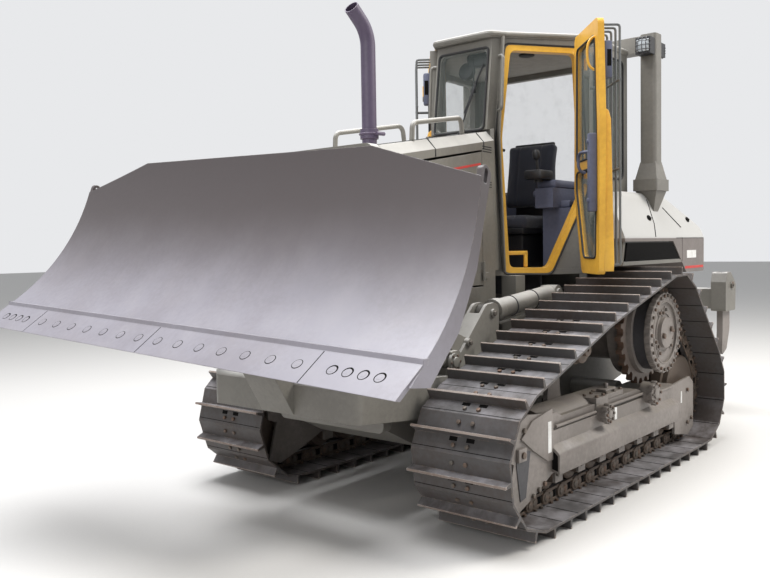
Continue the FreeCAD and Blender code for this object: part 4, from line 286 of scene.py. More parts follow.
def paintMaterial(name, spec, edgeRadius=0.006):
    material, tree, shader = newMaterial(name)
    broad = tree.noise(1.6, 3)
    fine = tree.noise(38, 4, 0.6)
    patches = (broad + (fine - 0.5) * 0.35).soft(0.38, 0.66)
    colour = tree.mix(patches * 0.55, spec["colour"], spec["dark"])
    # a second colour where spec says: painted shade on the upper blade, painted light on the rear body's top,
    # rust on the sprocket teeth
    if "second" in spec:
        colour = tree.mix(spec["where"](tree), colour, spec["second"])
    # upward faces take the dust colour; its even share is painted light from above, the patchy rest is dust
    upward = tree.facing().part("Z").soft(0.2, 1.0)
    even = spec.get("evenTopLight", 0)
    dustAndTopLight = upward * (tree.noise(6, 4, 0.65).soft(0.35, 0.75) * (1 - even) + even) * spec["dustAmount"]
    colour = tree.mix(dustAndTopLight, colour, spec["dust"])
    worn = tree.edges(edgeRadius, 0.02, 0.25)
    chips = (worn * tree.noise(24, 5, 0.7, shift=3).soft(0.42, 0.62)) * spec["chips"]
    colour = tree.mix(chips, colour, spec["worn"])
    tree.feed(shader.inputs["Base Color"], colour)
    tree.feed(shader.inputs["Roughness"], dustAndTopLight * 0.35 + fine * 0.12 + (spec["roughness"] - 0.06))
    shader.inputs["Specular IOR Level"].default_value = spec.get("specular", 0.5)
    grain = tree.noise(420, 2, 0.5)
    tree.feed(shader.inputs["Normal"], tree.bump(grain, 0.08, 0.001, tree.rounded(edgeRadius * 0.7)))
    return material


def simpleMaterial(name, spec):
    material, tree, shader = newMaterial(name)
    mottle = tree.noise(14, 4, 0.65).soft(0.35, 0.75)
    tree.feed(shader.inputs["Base Color"], tree.mix(mottle * spec["mottle"], spec["colour"], spec["dirt"]))
    tree.feed(shader.inputs["Roughness"], mottle * 0.15 + spec["roughness"])
    shader.inputs["Metallic"].default_value = spec.get("metal", 0)
    shader.inputs["Specular IOR Level"].default_value = spec.get("specular", 0.5)
    tree.feed(shader.inputs["Normal"], tree.rounded(0.002))
    return material


def glassMaterial(name):
    material, tree, shader = newMaterial(name)
    tree.feed(shader.inputs["Base Color"], glass["colour"])
    shader.inputs["Roughness"].default_value = glass["roughness"]
    rim = tree.add("LayerWeight", {}, {"Blend": 0.5}, output="Facing") ** 4
    smudge = tree.noise(9, 4, 0.7).soft(0.45, 0.8)
    tree.feed(shader.inputs["Alpha"], rim * glass["edge"] + smudge * glass["smudge"] + glass["least"])
    return material


def chromeMaterial(name):
    material, tree, shader = newMaterial(name)
    smear = tree.noise(30, 4, 0.6)
    tree.feed(shader.inputs["Base Color"], tree.mix(smear, chrome["bright"], chrome["dull"]))
    shader.inputs["Metallic"].default_value = 1
    tree.feed(shader.inputs["Roughness"], smear * 0.15 + 0.12)
    return material


def fabricMaterial(name):
    material, tree, shader = newMaterial(name)
    weave = tree.add("TexWave", {"wave_type": "BANDS", "bands_direction": "DIAGONAL"},
                     {"Vector": tree.place(), "Scale": fabric["weave"], "Distortion": 0.6, "Detail": 1},
                     output="Fac")
    shade = tree.noise(7, 3) * 0.6 + weave * 0.25
    tree.feed(shader.inputs["Base Color"], tree.mix(shade, fabric["light"], fabric["dark"]))
    shader.inputs["Roughness"].default_value = 0.85
    shader.inputs["Sheen Weight"].default_value = fabric["sheen"]
    tree.feed(shader.inputs["Normal"], tree.bump(weave, 0.3, 0.001))
    return material


materials = {name: paintMaterial(name, spec) for name, spec in paints.items()}
materials.update({name: simpleMaterial(name, spec) for name, spec in simples.items()})
materials["windowGlass"] = glassMaterial("windowGlass")
materials["rodChrome"] = chromeMaterial("rodChrome")
materials["seatFabric"] = fabricMaterial("seatFabric")

nodeFinish = {
    "bodyPaint": ("main_frame", "hood_top", "engine_door_left", "engine_door_right", "cowl", "radiator_guard",
                  "cab_side_left", "cab_side_right", "cab_rear", "cab_front", "cab_roof", "cab_floor",
                  "fenders", "roll_over_frame", "rear_case", "push_frame", "lift_barrels", "angle_barrel_left",
                  "angle_barrel_right", "tilt_barrel", "swivel", "ripper_bracket", "ripper_lower_links",
                  "ripper_upper_link", "ripper_beam", "ripper_barrels", "hand_rails"),
    "bladePaint": ("blade",),
    "trackSteel": ("track_left", "track_right"),
    "frameSteel": ("track_frames", "ripper_shanks"),
    "wornSteel": ("idlers", "rollers"),
    "doorPaint": ("door_frame_left", "door_frame_right"),
    "darkPaint": ("engine_block", "radiator"),
    "tankBand": ("fuel_tank",),
    "driveSteel": ("final_drives",),
    "grilleShade": ("side_grilles",),
    "blackPaint": ("work_lamps", "dashboard"),
    "burntSteel": ("exhaust_stack",),
    "cabPlastic": ("consoles",),
    "seatFabric": ("seat",),
    "windowGlass": ("cab_glass", "door_glass_left", "door_glass_right"),
    "rodChrome": ("lift_rods", "angle_rod_left", "angle_rod_right", "tilt_rod", "ripper_rods"),
}
for finish, names in nodeFinish.items():
    for name in names:
        for slot in nodes[name].material_slots:
            slot.material = materials[finish]
print("materials:", len(materials))

# Pieces: each new piece has one finish and hangs on one of the parts


def turned(axis, degrees):
    return Matrix.Rotation(math.radians(degrees), 4, axis)


def moved(x, y, z):
    return Matrix.Translation((x, y, z))


def outward(side):  # local Z points away from the machine's middle
    return turned("X", -90 * side)


def span(hand, inner, outer):  # two distances to the left or to the right, the lower one first
    return sorted((hand * inner, hand * outer))


sides = {"left": 1, "right": -1}
upright = turned("X", 90)  # turns a plate drawn in X and Y into the XZ plane, local Z towards -Y
alongX = turned("Z", 90) @ turned("X", 90)  # turns a plate drawn in X and Y into the YZ plane, local Z forward


class Piece:  # gathers shapes in one mesh, in the machine's frame
    def __init__(self, name, body, finish):
        self.name, self.body, self.finish = name, body, finish
        self.sheet = bmesh.new()

    def block(self, low, high, place=Matrix(), soften=0.0):  # from corner to corner
        centre = (Vector(low) + Vector(high)) / 2
        size = Vector(high) - Vector(low)
        own = bmesh.new()
        bmesh.ops.create_cube(own, size=1, matrix=moved(*centre) @ Matrix.Diagonal((*size, 1)))
        if soften:
            bmesh.ops.bevel(own, geom=own.edges[:], offset=soften, segments=2, profile=0.5, affect="EDGES",
                            material=-1, clamp_overlap=True)
        self.take(own, place)

    def drum(self, radius, low, high, place, facets=24, tip=None, soften=0.0):  # round the place's Z
        own = bmesh.new()
        bmesh.ops.create_cone(own, cap_ends=True, segments=facets, radius1=radius, depth=high - low,
                              radius2=radius if tip is None else tip, matrix=moved(0, 0, (low + high) / 2))
        if soften:
            rims = [edge for edge in own.edges if abs(edge.verts[0].co.z - edge.verts[1].co.z) < 1e-6]
            bmesh.ops.bevel(own, geom=rims, offset=soften, segments=2, profile=0.5, affect="EDGES", material=-1)
        self.take(own, place)

    def nut(self, radius, low, high, place, soften=0.002):
        self.drum(radius, low, high, place, 6, soften=soften)

    def ball(self, radius, place, squash=1.0):
        own = bmesh.new()
        bmesh.ops.create_uvsphere(own, u_segments=16, v_segments=10, radius=radius,
                                  matrix=Matrix.Diagonal((1, 1, squash, 1)))
        self.take(own, place)

    def ring(self, radius, tube, place, facets=40):
        own = bmesh.new()
        made = bmesh.ops.create_circle(own, cap_ends=False, segments=8, radius=tube,
                                       matrix=moved(radius, 0, 0) @ turned("X", 90))
        bmesh.ops.spin(own, geom=made["verts"] + own.edges[:], cent=(0, 0, 0), axis=(0, 0, 1), angle=math.tau,
                       steps=facets, use_merge=True, use_duplicate=False)
        self.take(own, place)

    def take(self, own, place):
        bmesh.ops.transform(own, matrix=place, verts=own.verts[:])
        mesh = bpy.data.meshes.new("part")
        own.to_mesh(mesh)
        own.free()
        self.sheet.from_mesh(mesh)
        bpy.data.meshes.remove(mesh)

    def fromCurve(self, data, place):
        item = bpy.data.objects.new("line", data)
        bpy.context.collection.objects.link(item)
        bpy.context.view_layer.update()
        mesh = bpy.data.meshes.new_from_object(item.evaluated_get(bpy.context.evaluated_depsgraph_get()))
        bpy.data.objects.remove(item)
        bpy.data.curves.remove(data)
        mesh.transform(place)
        self.sheet.from_mesh(mesh)
        bpy.data.meshes.remove(mesh)

    def rod(self, points, radius, place=Matrix(), closed=False, bent=True):
        data = bpy.data.curves.new("line", "CURVE")
        data.dimensions = "3D"
        data.bevel_depth, data.bevel_resolution, data.resolution_u = radius, 3, 6
        data.use_fill_caps = not closed
        line = data.splines.new("NURBS" if bent else "POLY")
        line.points.add(len(points) - 1)
        for spot, point in zip(line.points, points):
            spot.co = (*point, 1)
        line.use_cyclic_u = closed
        if bent:
            line.order_u = 3
            line.use_endpoint_u = not closed
        self.fromCurve(data, place)

    def plate(self, outlines, low, high, place=Matrix(), soften=0.0):  # first outline, later ones are holes
        data = bpy.data.curves.new("outline", "CURVE")
        data.dimensions = "2D"
        data.fill_mode = "BOTH"
        data.extrude = (high - low) / 2 - soften
        data.bevel_depth, data.bevel_resolution = soften, 1
        data.offset = -soften
        for outline in outlines:
            line = data.splines.new("POLY")
            line.points.add(len(outline) - 1)
            for spot, (across, along) in zip(line.points, outline):
                spot.co = (across, along, 0, 1)
            line.use_cyclic_u = True
        self.fromCurve(data, place @ moved(0, 0, (low + high) / 2))

    def done(self, angle=0.6):
        bmesh.ops.remove_doubles(self.sheet, verts=self.sheet.verts[:], dist=1e-5)
        bmesh.ops.recalc_face_normals(self.sheet, faces=self.sheet.faces[:])
        mesh = bpy.data.meshes.new(self.name)
        self.sheet.to_mesh(mesh)
        self.sheet.free()
        mesh.shade_smooth()
        mesh.set_sharp_from_angle(angle=angle)
        item = bpy.data.objects.new(self.name, mesh)
        bpy.context.collection.objects.link(item)
        mesh.materials.append(materials[self.finish])
        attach(item, self.body)
        return item


def finishPieces(*pieces):
    for piece in pieces:
        piece.done()


# Blade

blade = {"ball": (2.147, 0, 1.165), "lifted": -27.5, "tilted": -2.2,
         "edgeFoot": (0.481, 0, -0.360), "edgeLean": -27}
edge = {"section": 1.067, "seam": 0.004, "height": 0.0925, "headRadius": 0.022, "groove": 0.003,
        "squareHalf": 0.008, "sectionBolts": 7, "boltPitch": 0.1524, "endBolts": 4, "endPitch": 0.077,
        "endFirst": 1.176}
# Front of the cutting edge: local X to the left, Y up the plate, Z forward out of it
edgePlace = (moved(*blade["ball"]) @ turned("Y", blade["lifted"]) @ turned("X", blade["tilted"])
             @ moved(*blade["edgeFoot"]) @ turned("Y", blade["edgeLean"]) @ turned("Z", 90) @ turned("X", 90))


def bladeBolts():  # place along the edge, and 1 for the sunk bolts of an end bit
    places = []
    for hand in sides.values():
        for index in range(edge["sectionBolts"]):
            step = index - edge["sectionBolts"] // 2
            places.append((hand * edge["section"] / 2 + step * edge["boltPitch"], 0))
        for index in range(edge["endBolts"]):
            places.append((hand * (edge["endFirst"] + index * edge["endPitch"]), 1))
    return places


def makeBladeTrim():
    seams = Piece("edgeSeams", "blade", "holeShade")
    heads = Piece("edgeBolts", "blade", "bladePaint")
    half, square = edge["seam"] / 2, edge["squareHalf"]
    # dark seams between edge sections and grooves round the bolt heads: painted shade in the gaps
    for across in (-edge["section"], 0, edge["section"]):
        seams.block((across - half, 0.003, -0.001), (across + half, 0.177, 0.0006), edgePlace)
    for across, sunk in bladeBolts():
        spot = edgePlace @ moved(across, edge["height"], 0)
        seams.drum(edge["headRadius"] + edge["groove"], -0.001, 0.0005, spot, 28)
        spot = edgePlace @ moved(across, edge["height"] - 0.003 * sunk, 0)
        heads.drum(edge["headRadius"] - 0.002 * sunk, -0.001, 0.0012, spot, 28)
        heads.block((-square, -square, 0.0008), (square, square, 0.0015), spot)
    finishPieces(seams, heads)


makeBladeTrim()

# Tracks: bolts, mud holes, link joints and worn grouser edges, placed by the track's own grouser tips

tipSize = {"wide": 0.55, "thin": 0.011, "thick": 0.016, "apart": 0.03}
shoe = {"grouser": 0.052, "plate": 0.013, "half": 0.298, "tipHalf": 0.0067, "rust": 0.010, "skin": 0.0008,
        "boltRows": (-0.060, 0.060), "boltAcross": 0.042, "boltRadius": 0.0125,
        "holeAlong": 0.026, "holeAcross": 0.052, "holeHalf": (0.011, 0.024),
        "lip": (0.081, 0.086), "lipInner": 0.1, "overlap": (0.083, 0.0865)}
chain = {"pin": 0.08775, "line": -0.057, "face": 0.082, "boss": 0.037, "pinRadius": 0.019, "nutRadius": 0.011,
         "rail": ((-0.068, -0.0965), (0.072, -0.080)), "pad": ((-0.062, -0.036), (0.066, -0.014)),
         "window": ((-0.006, -0.080), (0.046, -0.036)), "nuts": (-0.030, 0.034)}
trackMiddles = {"track_left": 0.885, "track_right": -0.885}


def grouserTips(name):  # middle and normal of each grouser's narrow top face
    mesh = nodes[name].data
    tips = []
    for face in mesh.polygons:
        corners = [mesh.vertices[index].co for index in face.vertices]
        wide = max(spot.y for spot in corners) - min(spot.y for spot in corners)
        thick = max(math.hypot(one.x - two.x, one.z - two.z) for one in corners for two in corners)
        if abs(face.normal.y) < 0.01 and wide > tipSize["wide"] and tipSize["thin"] < thick < tipSize["thick"]:
            low = Vector(min(spot[axis] for spot in corners) for axis in range(3))
            high = Vector(max(spot[axis] for spot in corners) for axis in range(3))
            middle = (low + high) / 2
            if all((middle - known).length > tipSize["apart"] for known, normal in tips):
                tips.append((middle, face.normal.copy()))
    return tips


def dressShoe(place, edges, bolts, holes):  # X along the chain, Z out of the shoe
    half, grouser, under, skin = shoe["half"], shoe["grouser"], -shoe["plate"], shoe["skin"]
    edges.block((-shoe["tipHalf"], -half - skin, grouser - shoe["rust"]),
                (shoe["tipHalf"], half + skin, grouser + skin), place)
    for row in shoe["boltRows"]:
        for across in (-shoe["boltAcross"], shoe["boltAcross"]):
            bolts.nut(shoe["boltRadius"], -0.001, 0.011, place @ moved(row, across, 0))
    # dark blocks for the mud holes, the lip under the shoe and the overlap to the next shoe: painted shade in
    # the holes and gaps
    along, across = shoe["holeHalf"]
    for middle in (-shoe["holeAcross"], shoe["holeAcross"]):
        spot = place @ moved(shoe["holeAlong"], middle, 0)
        holes.block((-along, -across, -0.001), (along, across, 0.0009), spot)
    start, end = shoe["lip"]
    for low, high in ((-half + 0.004, -shoe["lipInner"]), (shoe["lipInner"], half - 0.004)):
        holes.block((start, low, under - 0.0012), (end, high, under + 0.002), place)
    start, end = shoe["overlap"]
    holes.block((start, -half + 0.002, -0.002), (end, half - 0.002, 0.0008), place)


def dressLinks(place, hand, links, pins, holes):  # one side of the chain under a shoe
    face = chain["face"]
    for reach, out in ((chain["pin"], 0.016), (0.056 - chain["pin"], 0.009)):
        spot = place @ moved(reach, hand * face, chain["line"]) @ outward(hand)
        links.drum(chain["boss"], -0.002, out, spot, 24, soften=0.003)
        pins.drum(chain["pinRadius"], out - 0.003, out + 0.005, spot, 18, soften=0.002)
    near, far = span(hand, face - 0.002, face + 0.007)
    for (start, low), (end, high) in (chain["rail"], chain["pad"]):
        links.block((start, near, low), (end, far, high), place, 0.002)
    # dark block for the window in the link: painted shade in the opening
    near, far = span(hand, face - 0.002, face + 0.0012)
    (start, low), (end, high) = chain["window"]
    holes.block((start, near, low), (end, far, high), place)
    for reach in chain["nuts"]:
        spot = place @ moved(reach, hand * (face + 0.016), -0.013) @ turned("X", 180)
        pins.drum(chain["nutRadius"], 0, 0.012, spot, 6)


def makeTrackTrim(name, middle):
    holes, bolts = Piece(name + "Holes", "chassis", "holeShade"), Piece(name + "Bolts", "chassis", "boltSteel")
    edges = Piece(name + "Edges", "chassis", "edgeRust")
    links, pins = Piece(name + "Links", "chassis", "wornSteel"), Piece(name + "Pins", "chassis", "boltSteel")
    tips = grouserTips(name)
    across = Vector((0, 1, 0))
    for centre, normal in tips:
        along = Vector((normal.z, 0, -normal.x))
        place = Matrix((along, across, along.cross(across))).transposed().to_4x4()
        place.translation = Vector((centre.x, middle, centre.z)) - normal * shoe["grouser"]
        dressShoe(place, edges, bolts, holes)
        for hand in sides.values():
            dressLinks(place, hand, links, pins, holes)
    finishPieces(holes, bolts, edges, links, pins)
    print(name, "shoes dressed:", len(tips))


for name, middle in trackMiddles.items():
    makeTrackTrim(name, middle)

# Final drives

drive = {"x": -0.731, "z": 0.905, "face": 1.067, "barrel": 0.2592, "barrelReach": (-0.160, -0.041),
         "lobes": 26, "lobeCircle": 0.254, "lobeRadius": 0.025, "lobeBolt": 0.0125,
         "lips": ((0.212, 0.005, -0.001), (0.135, 0.004, -0.011)),  # radius, thickness, depth
         "hubGroups": 3, "hubTurns": (-20, 0, 20), "hubCircle": 0.158, "hubPad": 0.024, "hubBolt": 0.012,
         "plugTurns": (15, 195), "plugCircle": 0.07, "plugRadius": 0.02}


def makeDrive(side, hand):
    place = moved(drive["x"], hand * drive["face"], drive["z"]) @ outward(hand)
    sleeve = Piece("driveBarrel_" + side, "chassis", "darkPaint")
    sleeve.drum(drive["barrel"], *drive["barrelReach"], place, 64)
    ring = Piece("driveRing_" + side, "chassis", "frameSteel")
    bolts = Piece("driveBolts_" + side, "chassis", "boltSteel")
    for index in range(drive["lobes"]):
        spot = place @ turned("Z", 360 / drive["lobes"] * index) @ moved(drive["lobeCircle"], 0, 0)
        ring.drum(drive["lobeRadius"], -0.034, 0.004, spot, 16, soften=0.003)
        bolts.nut(drive["lobeBolt"], 0.003, 0.017, spot)
    for radius, thick, deep in drive["lips"]:
        ring.ring(radius, thick, place @ moved(0, 0, deep))
    for group in range(drive["hubGroups"]):
        for turn in drive["hubTurns"]:
            out = drive["hubCircle"] - 0.02 * (turn == 0)  # the middle bolt stands further in
            spot = place @ turned("Z", 360 / drive["hubGroups"] * group + 40 + turn) @ moved(out, 0, -0.014)
            ring.drum(drive["hubPad"], 0, 0.006, spot, 16)
            bolts.nut(drive["hubBolt"], 0.004, 0.018, spot)
    for turn in drive["plugTurns"]:
        spot = place @ turned("Z", turn) @ moved(drive["plugCircle"], 0, 0)
        bolts.nut(drive["plugRadius"], 0.01, 0.03, spot, 0.003)
    finishPieces(sleeve, ring, bolts)


for side, hand in sides.items():
    makeDrive(side, hand)

# Track frames

trackFrame = {
    "wall": 1.045,  # the frame's outer side
    "carrierCaps": ((0.234, 0.504, 0.052), (-0.476, 0.524, 0.072)),  # x, z, radius
    "capFace": 1.103, "capBolts": 8,
    "pad": (0.02, 0.97, 0.562),
    "padBlocks": (((-0.15, -0.06, 0), (0.09, 0.06, 0.035)), ((-0.10, -0.035, 0.03), (0.05, 0.035, 0.055))),
    "padBolts": ((-0.13, -0.045), (-0.13, 0.045), (-0.03, -0.05), (-0.03, 0.05), (0.07, -0.045), (0.07, 0.045)),
    "topBolts": ((0.145, 0.94), (0.145, 1.02), (0.235, 0.94), (0.235, 1.02)), "topHeight": 0.594,
    "boxPlate": ((1.175, 0.520), (1.060, 0.598), (0.850, 0.632), (0.826, 0.345), (0.900, 0.350),
                 (1.060, 0.440)),
    "ledges": ((0.30, 0.79, 0.520), (-0.40, 0.15, 0.528), (-0.88, -0.56, 0.500)),  # from x, to x, z
    "ledgeRadius": 0.009,
    # dark plate on the frame wall by the idler: a painted shadow, not a part of the frame
    "idlerShadow": ((1.075, 0.440), (1.205, 0.470), (1.215, 0.385), (1.180, 0.195), (1.125, 0.205)),
    "guardBolts": {"count": 7, "first": 0.758, "pitch": 0.276, "apart": 0.026, "height": 0.252,
                   "radius": 0.011},
    "sideBolts": ((0.93, 0.235), (0.99, 0.215), (1.05, 0.195), (1.14, 0.56), (-1.2, 0.20), (-1.28, 0.22),
                  (-1.2, 0.44)),
    "idlerCap": ((1.135, 0, 0.405), (1.215, 0.02, 0.475)),
    "tags": ((0.884, 0.480, 0.018, 0.085, 1.058), (0.020, 0.466, 0.016, 0.038, 1.0455),
             (-1.091, 0.400, 0.012, 0.042, 1.0455)),  # x, z, half width, half height, out
}
frameCover = {  # box along the frame's lower side, in distances out of the middle and heights
    "section": ((1.040, 0.282), (1.094, 0.268), (1.0965, 0.274), (1.0965, 0.376), (1.088, 0.390),
                (1.040, 0.428)),
    "mouth": ((1.050, 0.296), (1.086, 0.286), (1.086, 0.370), (1.050, 0.402)),
    "reach": (-0.905, 0.845), "mouthReach": (0.840, 0.8462),
}


def makeCarrierCaps(hand, bolts, caps):
    for x, z, radius in trackFrame["carrierCaps"]:
        place = moved(x, hand * trackFrame["capFace"], z) @ outward(hand)
        for index in range(trackFrame["capBolts"]):
            spot = place @ turned("Z", 360 / trackFrame["capBolts"] * index) @ moved(radius - 0.006, 0, 0)
            caps.drum(0.017, -0.03, 0.004, spot, 14, soften=0.002)
            bolts.nut(0.0095, 0.003, 0.014, spot, 0.0015)
        caps.drum(radius * 0.5, -0.002, 0.01, place, 24, soften=0.003)


def makeFramePads(hand, bolts, caps):
    x, y, z = trackFrame["pad"]
    place = moved(x, hand * y, z)
    for low, high in trackFrame["padBlocks"]:
        caps.block(low, high, place, 0.008)
    for x, y in trackFrame["padBolts"]:
        bolts.nut(0.012, 0.033, 0.048, place @ moved(x, y, 0))
    caps.drum(0.014, 0.05, 0.085, place @ moved(-0.02, 0, 0), 16, soften=0.003)
    for x, y in trackFrame["topBolts"]:
        bolts.nut(0.012, -0.001, 0.014, moved(x, hand * y, trackFrame["topHeight"]))


def makeFrameSide(side, hand, bolts, caps):
    wall = moved(0, hand * trackFrame["wall"], 0)
    caps.plate((trackFrame["boxPlate"],), *span(-hand, 0.0005, 0.0125), wall @ upright, soften=0.003)
    for start, end, z in trackFrame["ledges"]:
        line = [(x, hand * (trackFrame["wall"] - 0.001), z) for x in (start, end)]
        caps.rod(line, trackFrame["ledgeRadius"], bent=False)
    # a painted shadow: dark plate on the frame wall by the idler
    shadowPlate = Piece("idlerGuard_" + side, "chassis", "darkPaint")
    shadowPlate.plate((trackFrame["idlerShadow"],), *span(-hand, 0.0005, 0.0045), wall @ upright)
    shadowPlate.done()
    row = trackFrame["guardBolts"]
    face = hand * (trackFrame["wall"] + 0.001)
    for index in range(row["count"]):
        x = row["first"] - row["pitch"] * index
        for shift in (-row["apart"], row["apart"]):
            bolts.nut(row["radius"], 0, 0.012, moved(x + shift, face, row["height"]) @ outward(hand))
    for x, z in trackFrame["sideBolts"]:
        bolts.nut(0.014, 0, 0.014, moved(x, face, z) @ outward(hand))
    low, high = trackFrame["idlerCap"]
    caps.block(low, high, moved(0, hand * 1.055 - 0.01, 0), 0.005)
    bolts.drum(0.018, 0, 0.012, moved(1.175, hand * 1.064, 0.44) @ outward(hand), 20, soften=0.003)


def makeFrameCover(side, hand):
    # the dark mouth at the rib's open front end is painted shade
    for name, finish, outline, reach, soften in (
            ("frameRib_", "frameSteel", frameCover["section"], frameCover["reach"], 0.004),
            ("frameRibMouth_", "holeShade", frameCover["mouth"], frameCover["mouthReach"], 0)):
        piece = Piece(name + side, "chassis", finish)
        piece.plate(([(hand * out, height) for out, height in outline],), *reach, alongX, soften=soften)
        piece.done()


def makeFrameTrim(side, hand):
    bolts = Piece("frameBolts_" + side, "chassis", "boltSteel")
    caps = Piece("frameCaps_" + side, "chassis", "frameSteel")
    tags = Piece("frameTags_" + side, "chassis", "plateWhite")
    makeCarrierCaps(hand, bolts, caps)
    makeFramePads(hand, bolts, caps)
    makeFrameSide(side, hand, bolts, caps)
    makeFrameCover(side, hand)
    for x, z, wide, tall, out in trackFrame["tags"]:
        tags.block((x - wide, 0, z - tall), (x + wide, 0.0015, z + tall), moved(0, hand * out - 0.0007, 0))
    finishPieces(bolts, caps, tags)


for side, hand in sides.items():
    makeFrameTrim(side, hand)
print("blade, tracks and drives dressed")

# Hood, cowl and stripes

hood = {"rear": 0.184, "rearHalf": 0.280, "rearTop": 2.282, "length": 1.246, "widening": 0.120, "slope": 9.2,
        "seams": (0.93, 0.33), "seamRadius": 0.0045,
        "slits": ((2.155, 0.007), (1.93, 0.006)), "slitCount": 3, "slitPitch": 0.016,
        "slitReach": (0.04, 0.165),
        "stripeFrom": 0.19, "stripeDown": 0.215, "stripeLength": 1.05, "stripeWidth": 0.014,
        "latches": ((1.16, 1.42), (1.16, 1.86)), "latchRadius": 0.026}
hoodTaper = math.degrees(math.atan2(hood["widening"], hood["length"]))


def hoodTop(x):
    return hood["rearTop"] - (x - hood["rear"]) * math.tan(math.radians(hood["slope"]))


def hoodHalf(x):
    return hood["rearHalf"] + (x - hood["rear"]) / hood["length"] * hood["widening"]


def sideWall(hand):  # local X forward along the hood's side, Y out of it
    return moved(hood["rear"], hood["rearHalf"] * hand, 0) @ turned("Z", hoodTaper * hand)


def hoodSeam(x):  # up the right side, over the top and down the left side
    half, top = hoodHalf(x), hoodTop(x)
    profile = ((half, -0.118), (half, -0.074), (half - 0.058, -0.008), (half - 0.064, -0.008))
    right = [(x, -across, top + drop) for across, drop in profile]
    return right + [(x, across, top + drop) for across, drop in reversed(profile)]


def makeHoodTrim():
    seam = Piece("hoodSeams", "chassis", "rubber")
    for x in hood["seams"]:
        seam.rod(hoodSeam(x), hood["seamRadius"], bent=False)
    # the dark slits are painted shade inside the louvre slits
    start, end = hood["slitReach"]
    for hand in sides.values():
        for step in range(hood["slitCount"]):
            for first, tall in hood["slits"]:
                z = first - hood["slitPitch"] * step
                seam.block((start, -0.001, z), (end, 0.0012, z + tall), sideWall(hand))
    seam.done()


def makeEngineDoorTrim(side, hand):
    body = "engine_door_" + side
    stripe = Piece("hoodStripe_" + side, body, "stripeRed")
    height = hoodTop(hood["rear"] + hood["stripeFrom"]) - hood["stripeDown"]
    slope = sideWall(hand) @ moved(hood["stripeFrom"], 0, height) @ turned("Y", hood["slope"])
    stripe.block((0, -0.0008, 0), (hood["stripeLength"], 0.001, hood["stripeWidth"]), slope)
    latch = Piece("doorLatches_" + side, body, "blackPaint")
    for x, z in hood["latches"]:
        place = sideWall(hand) @ moved(x, 0, z) @ outward(hand)
        latch.drum(hood["latchRadius"], -0.001, 0.006, place, 24, soften=0.002)
        latch.block((-0.018, -0.004, 0.004), (0.018, 0.004, 0.012), place)
    finishPieces(stripe, latch)


makeHoodTrim()
for side, hand in sides.items():
    makeEngineDoorTrim(side, hand)

exhaust = {"x": 1.178, "y": 0.060, "up": 0.058, "clampRadius": 0.055, "clampThick": 0.007}


def makeExhaustTrim():
    clamp = Piece("exhaustClamp", "chassis", "burntSteel")
    place = moved(exhaust["x"], exhaust["y"], hoodTop(exhaust["x"]) + exhaust["up"])
    clamp.ring(exhaust["clampRadius"], exhaust["clampThick"], place)
    clamp.nut(0.012, -0.035, 0.035, place @ moved(-0.02, 0.066, 0) @ turned("Y", 90))
    clamp.done()


makeExhaustTrim()

# Cab doors: across is measured from the wall's rear corner, out from the wall

cabWallEnds = {"rear": (-0.443, 0.656), "front": (0.032, 0.277)}
cabDoor = {
    "hinge": (0.075, 0.082), "leftOpen": 80.5,  # degrees
    "opening": ((0.577, 2.827), (0.104, 2.818), (0.056, 1.888), (0.309, 1.358), (0.597, 1.364), (0.643, 2.241)),
    "panes": (((0.547, 2.806), (0.132, 2.806), (0.118, 2.06), (0.58, 2.06), (0.585, 2.241)),
              ((0.575, 2.0), (0.11, 2.0), (0.108, 1.892), (0.272, 1.43), (0.555, 1.43))),
    "sealFaces": (0.012, 0.052), "sealRadius": 0.007,
    "mould": ((0.040, 1.350), (0.104, 1.350), (0.108, 1.40), (0.090, 2.28), (0.076, 2.33), (0.040, 2.36)),
    "mouldReach": (0.592, 0.622),
    "catch": ((0.545, 0.050, 2.53), (0.606, 0.104, 2.755)),
    "catchSlot": ((0.59, 0.070, 2.60), (0.6068, 0.096, 2.70)),
    "flange": ((0.628, 2.90), (0.664, 2.241), (0.634, 1.34)), "flangeThick": 0.010, "flangeOut": 0.056,
}
doorGuard = {
    "rods": (0.34, 0.425, 0.51, 0.592), "rodRadius": 0.0075,
    "rodLine": ((0.05, 2.85), (0.136, 2.85), (0.148, 2.846), (0.152, 2.834), (0.152, 1.406), (0.148, 1.394),
                (0.136, 1.390), (0.05, 1.390)),  # out, height
    "bars": (1.98, 2.52), "barRadius": 0.009,
    "barLine": ((0.315, 0.05), (0.315, 0.140), (0.327, 0.152), (0.605, 0.152)),  # across, out
}
doorHandle = {"low": (0.545, 1.70), "high": (0.60, 1.83), "out": 0.056, "half": 0.010,
              "loop": ((0.052, 1.73), (0.085, 1.73), (0.085, 1.80), (0.052, 1.80)), "loopAcross": 0.56}
latchBox = {"low": (0.545, -0.040, 1.72), "high": (0.592, 0.012, 2.20), "screws": (2.15, 1.79),
            "screwAcross": 0.570,
            "grip": ((0.33, 0.012, 1.98), (0.33, -0.035, 1.98), (0.33, -0.035, 2.10), (0.45, -0.035, 2.10),
                     (0.45, 0.012, 2.10))}
grabLine = ((0.543, 0.012, 2.79), (0.543, -0.035, 2.78), (0.543, -0.035, 2.60), (0.543, 0.012, 2.59))


def cabWall(hand):  # local X forward along the door's wall, Y to the machine's left
    (rearX, rearY), (frontX, frontY) = cabWallEnds["rear"], cabWallEnds["front"]
    turn = math.degrees(math.atan2(frontY - rearY, frontX - rearX))
    return moved(rearX, rearY * hand, 0) @ turned("Z", turn * hand)


def doorPlace(side):
    place = cabWall(sides[side])
    if side == "left":
        x, y = cabDoor["hinge"]
        place = place @ moved(x, y, 0) @ turned("Z", cabDoor["leftOpen"]) @ moved(-x, -y, 0)
    return place


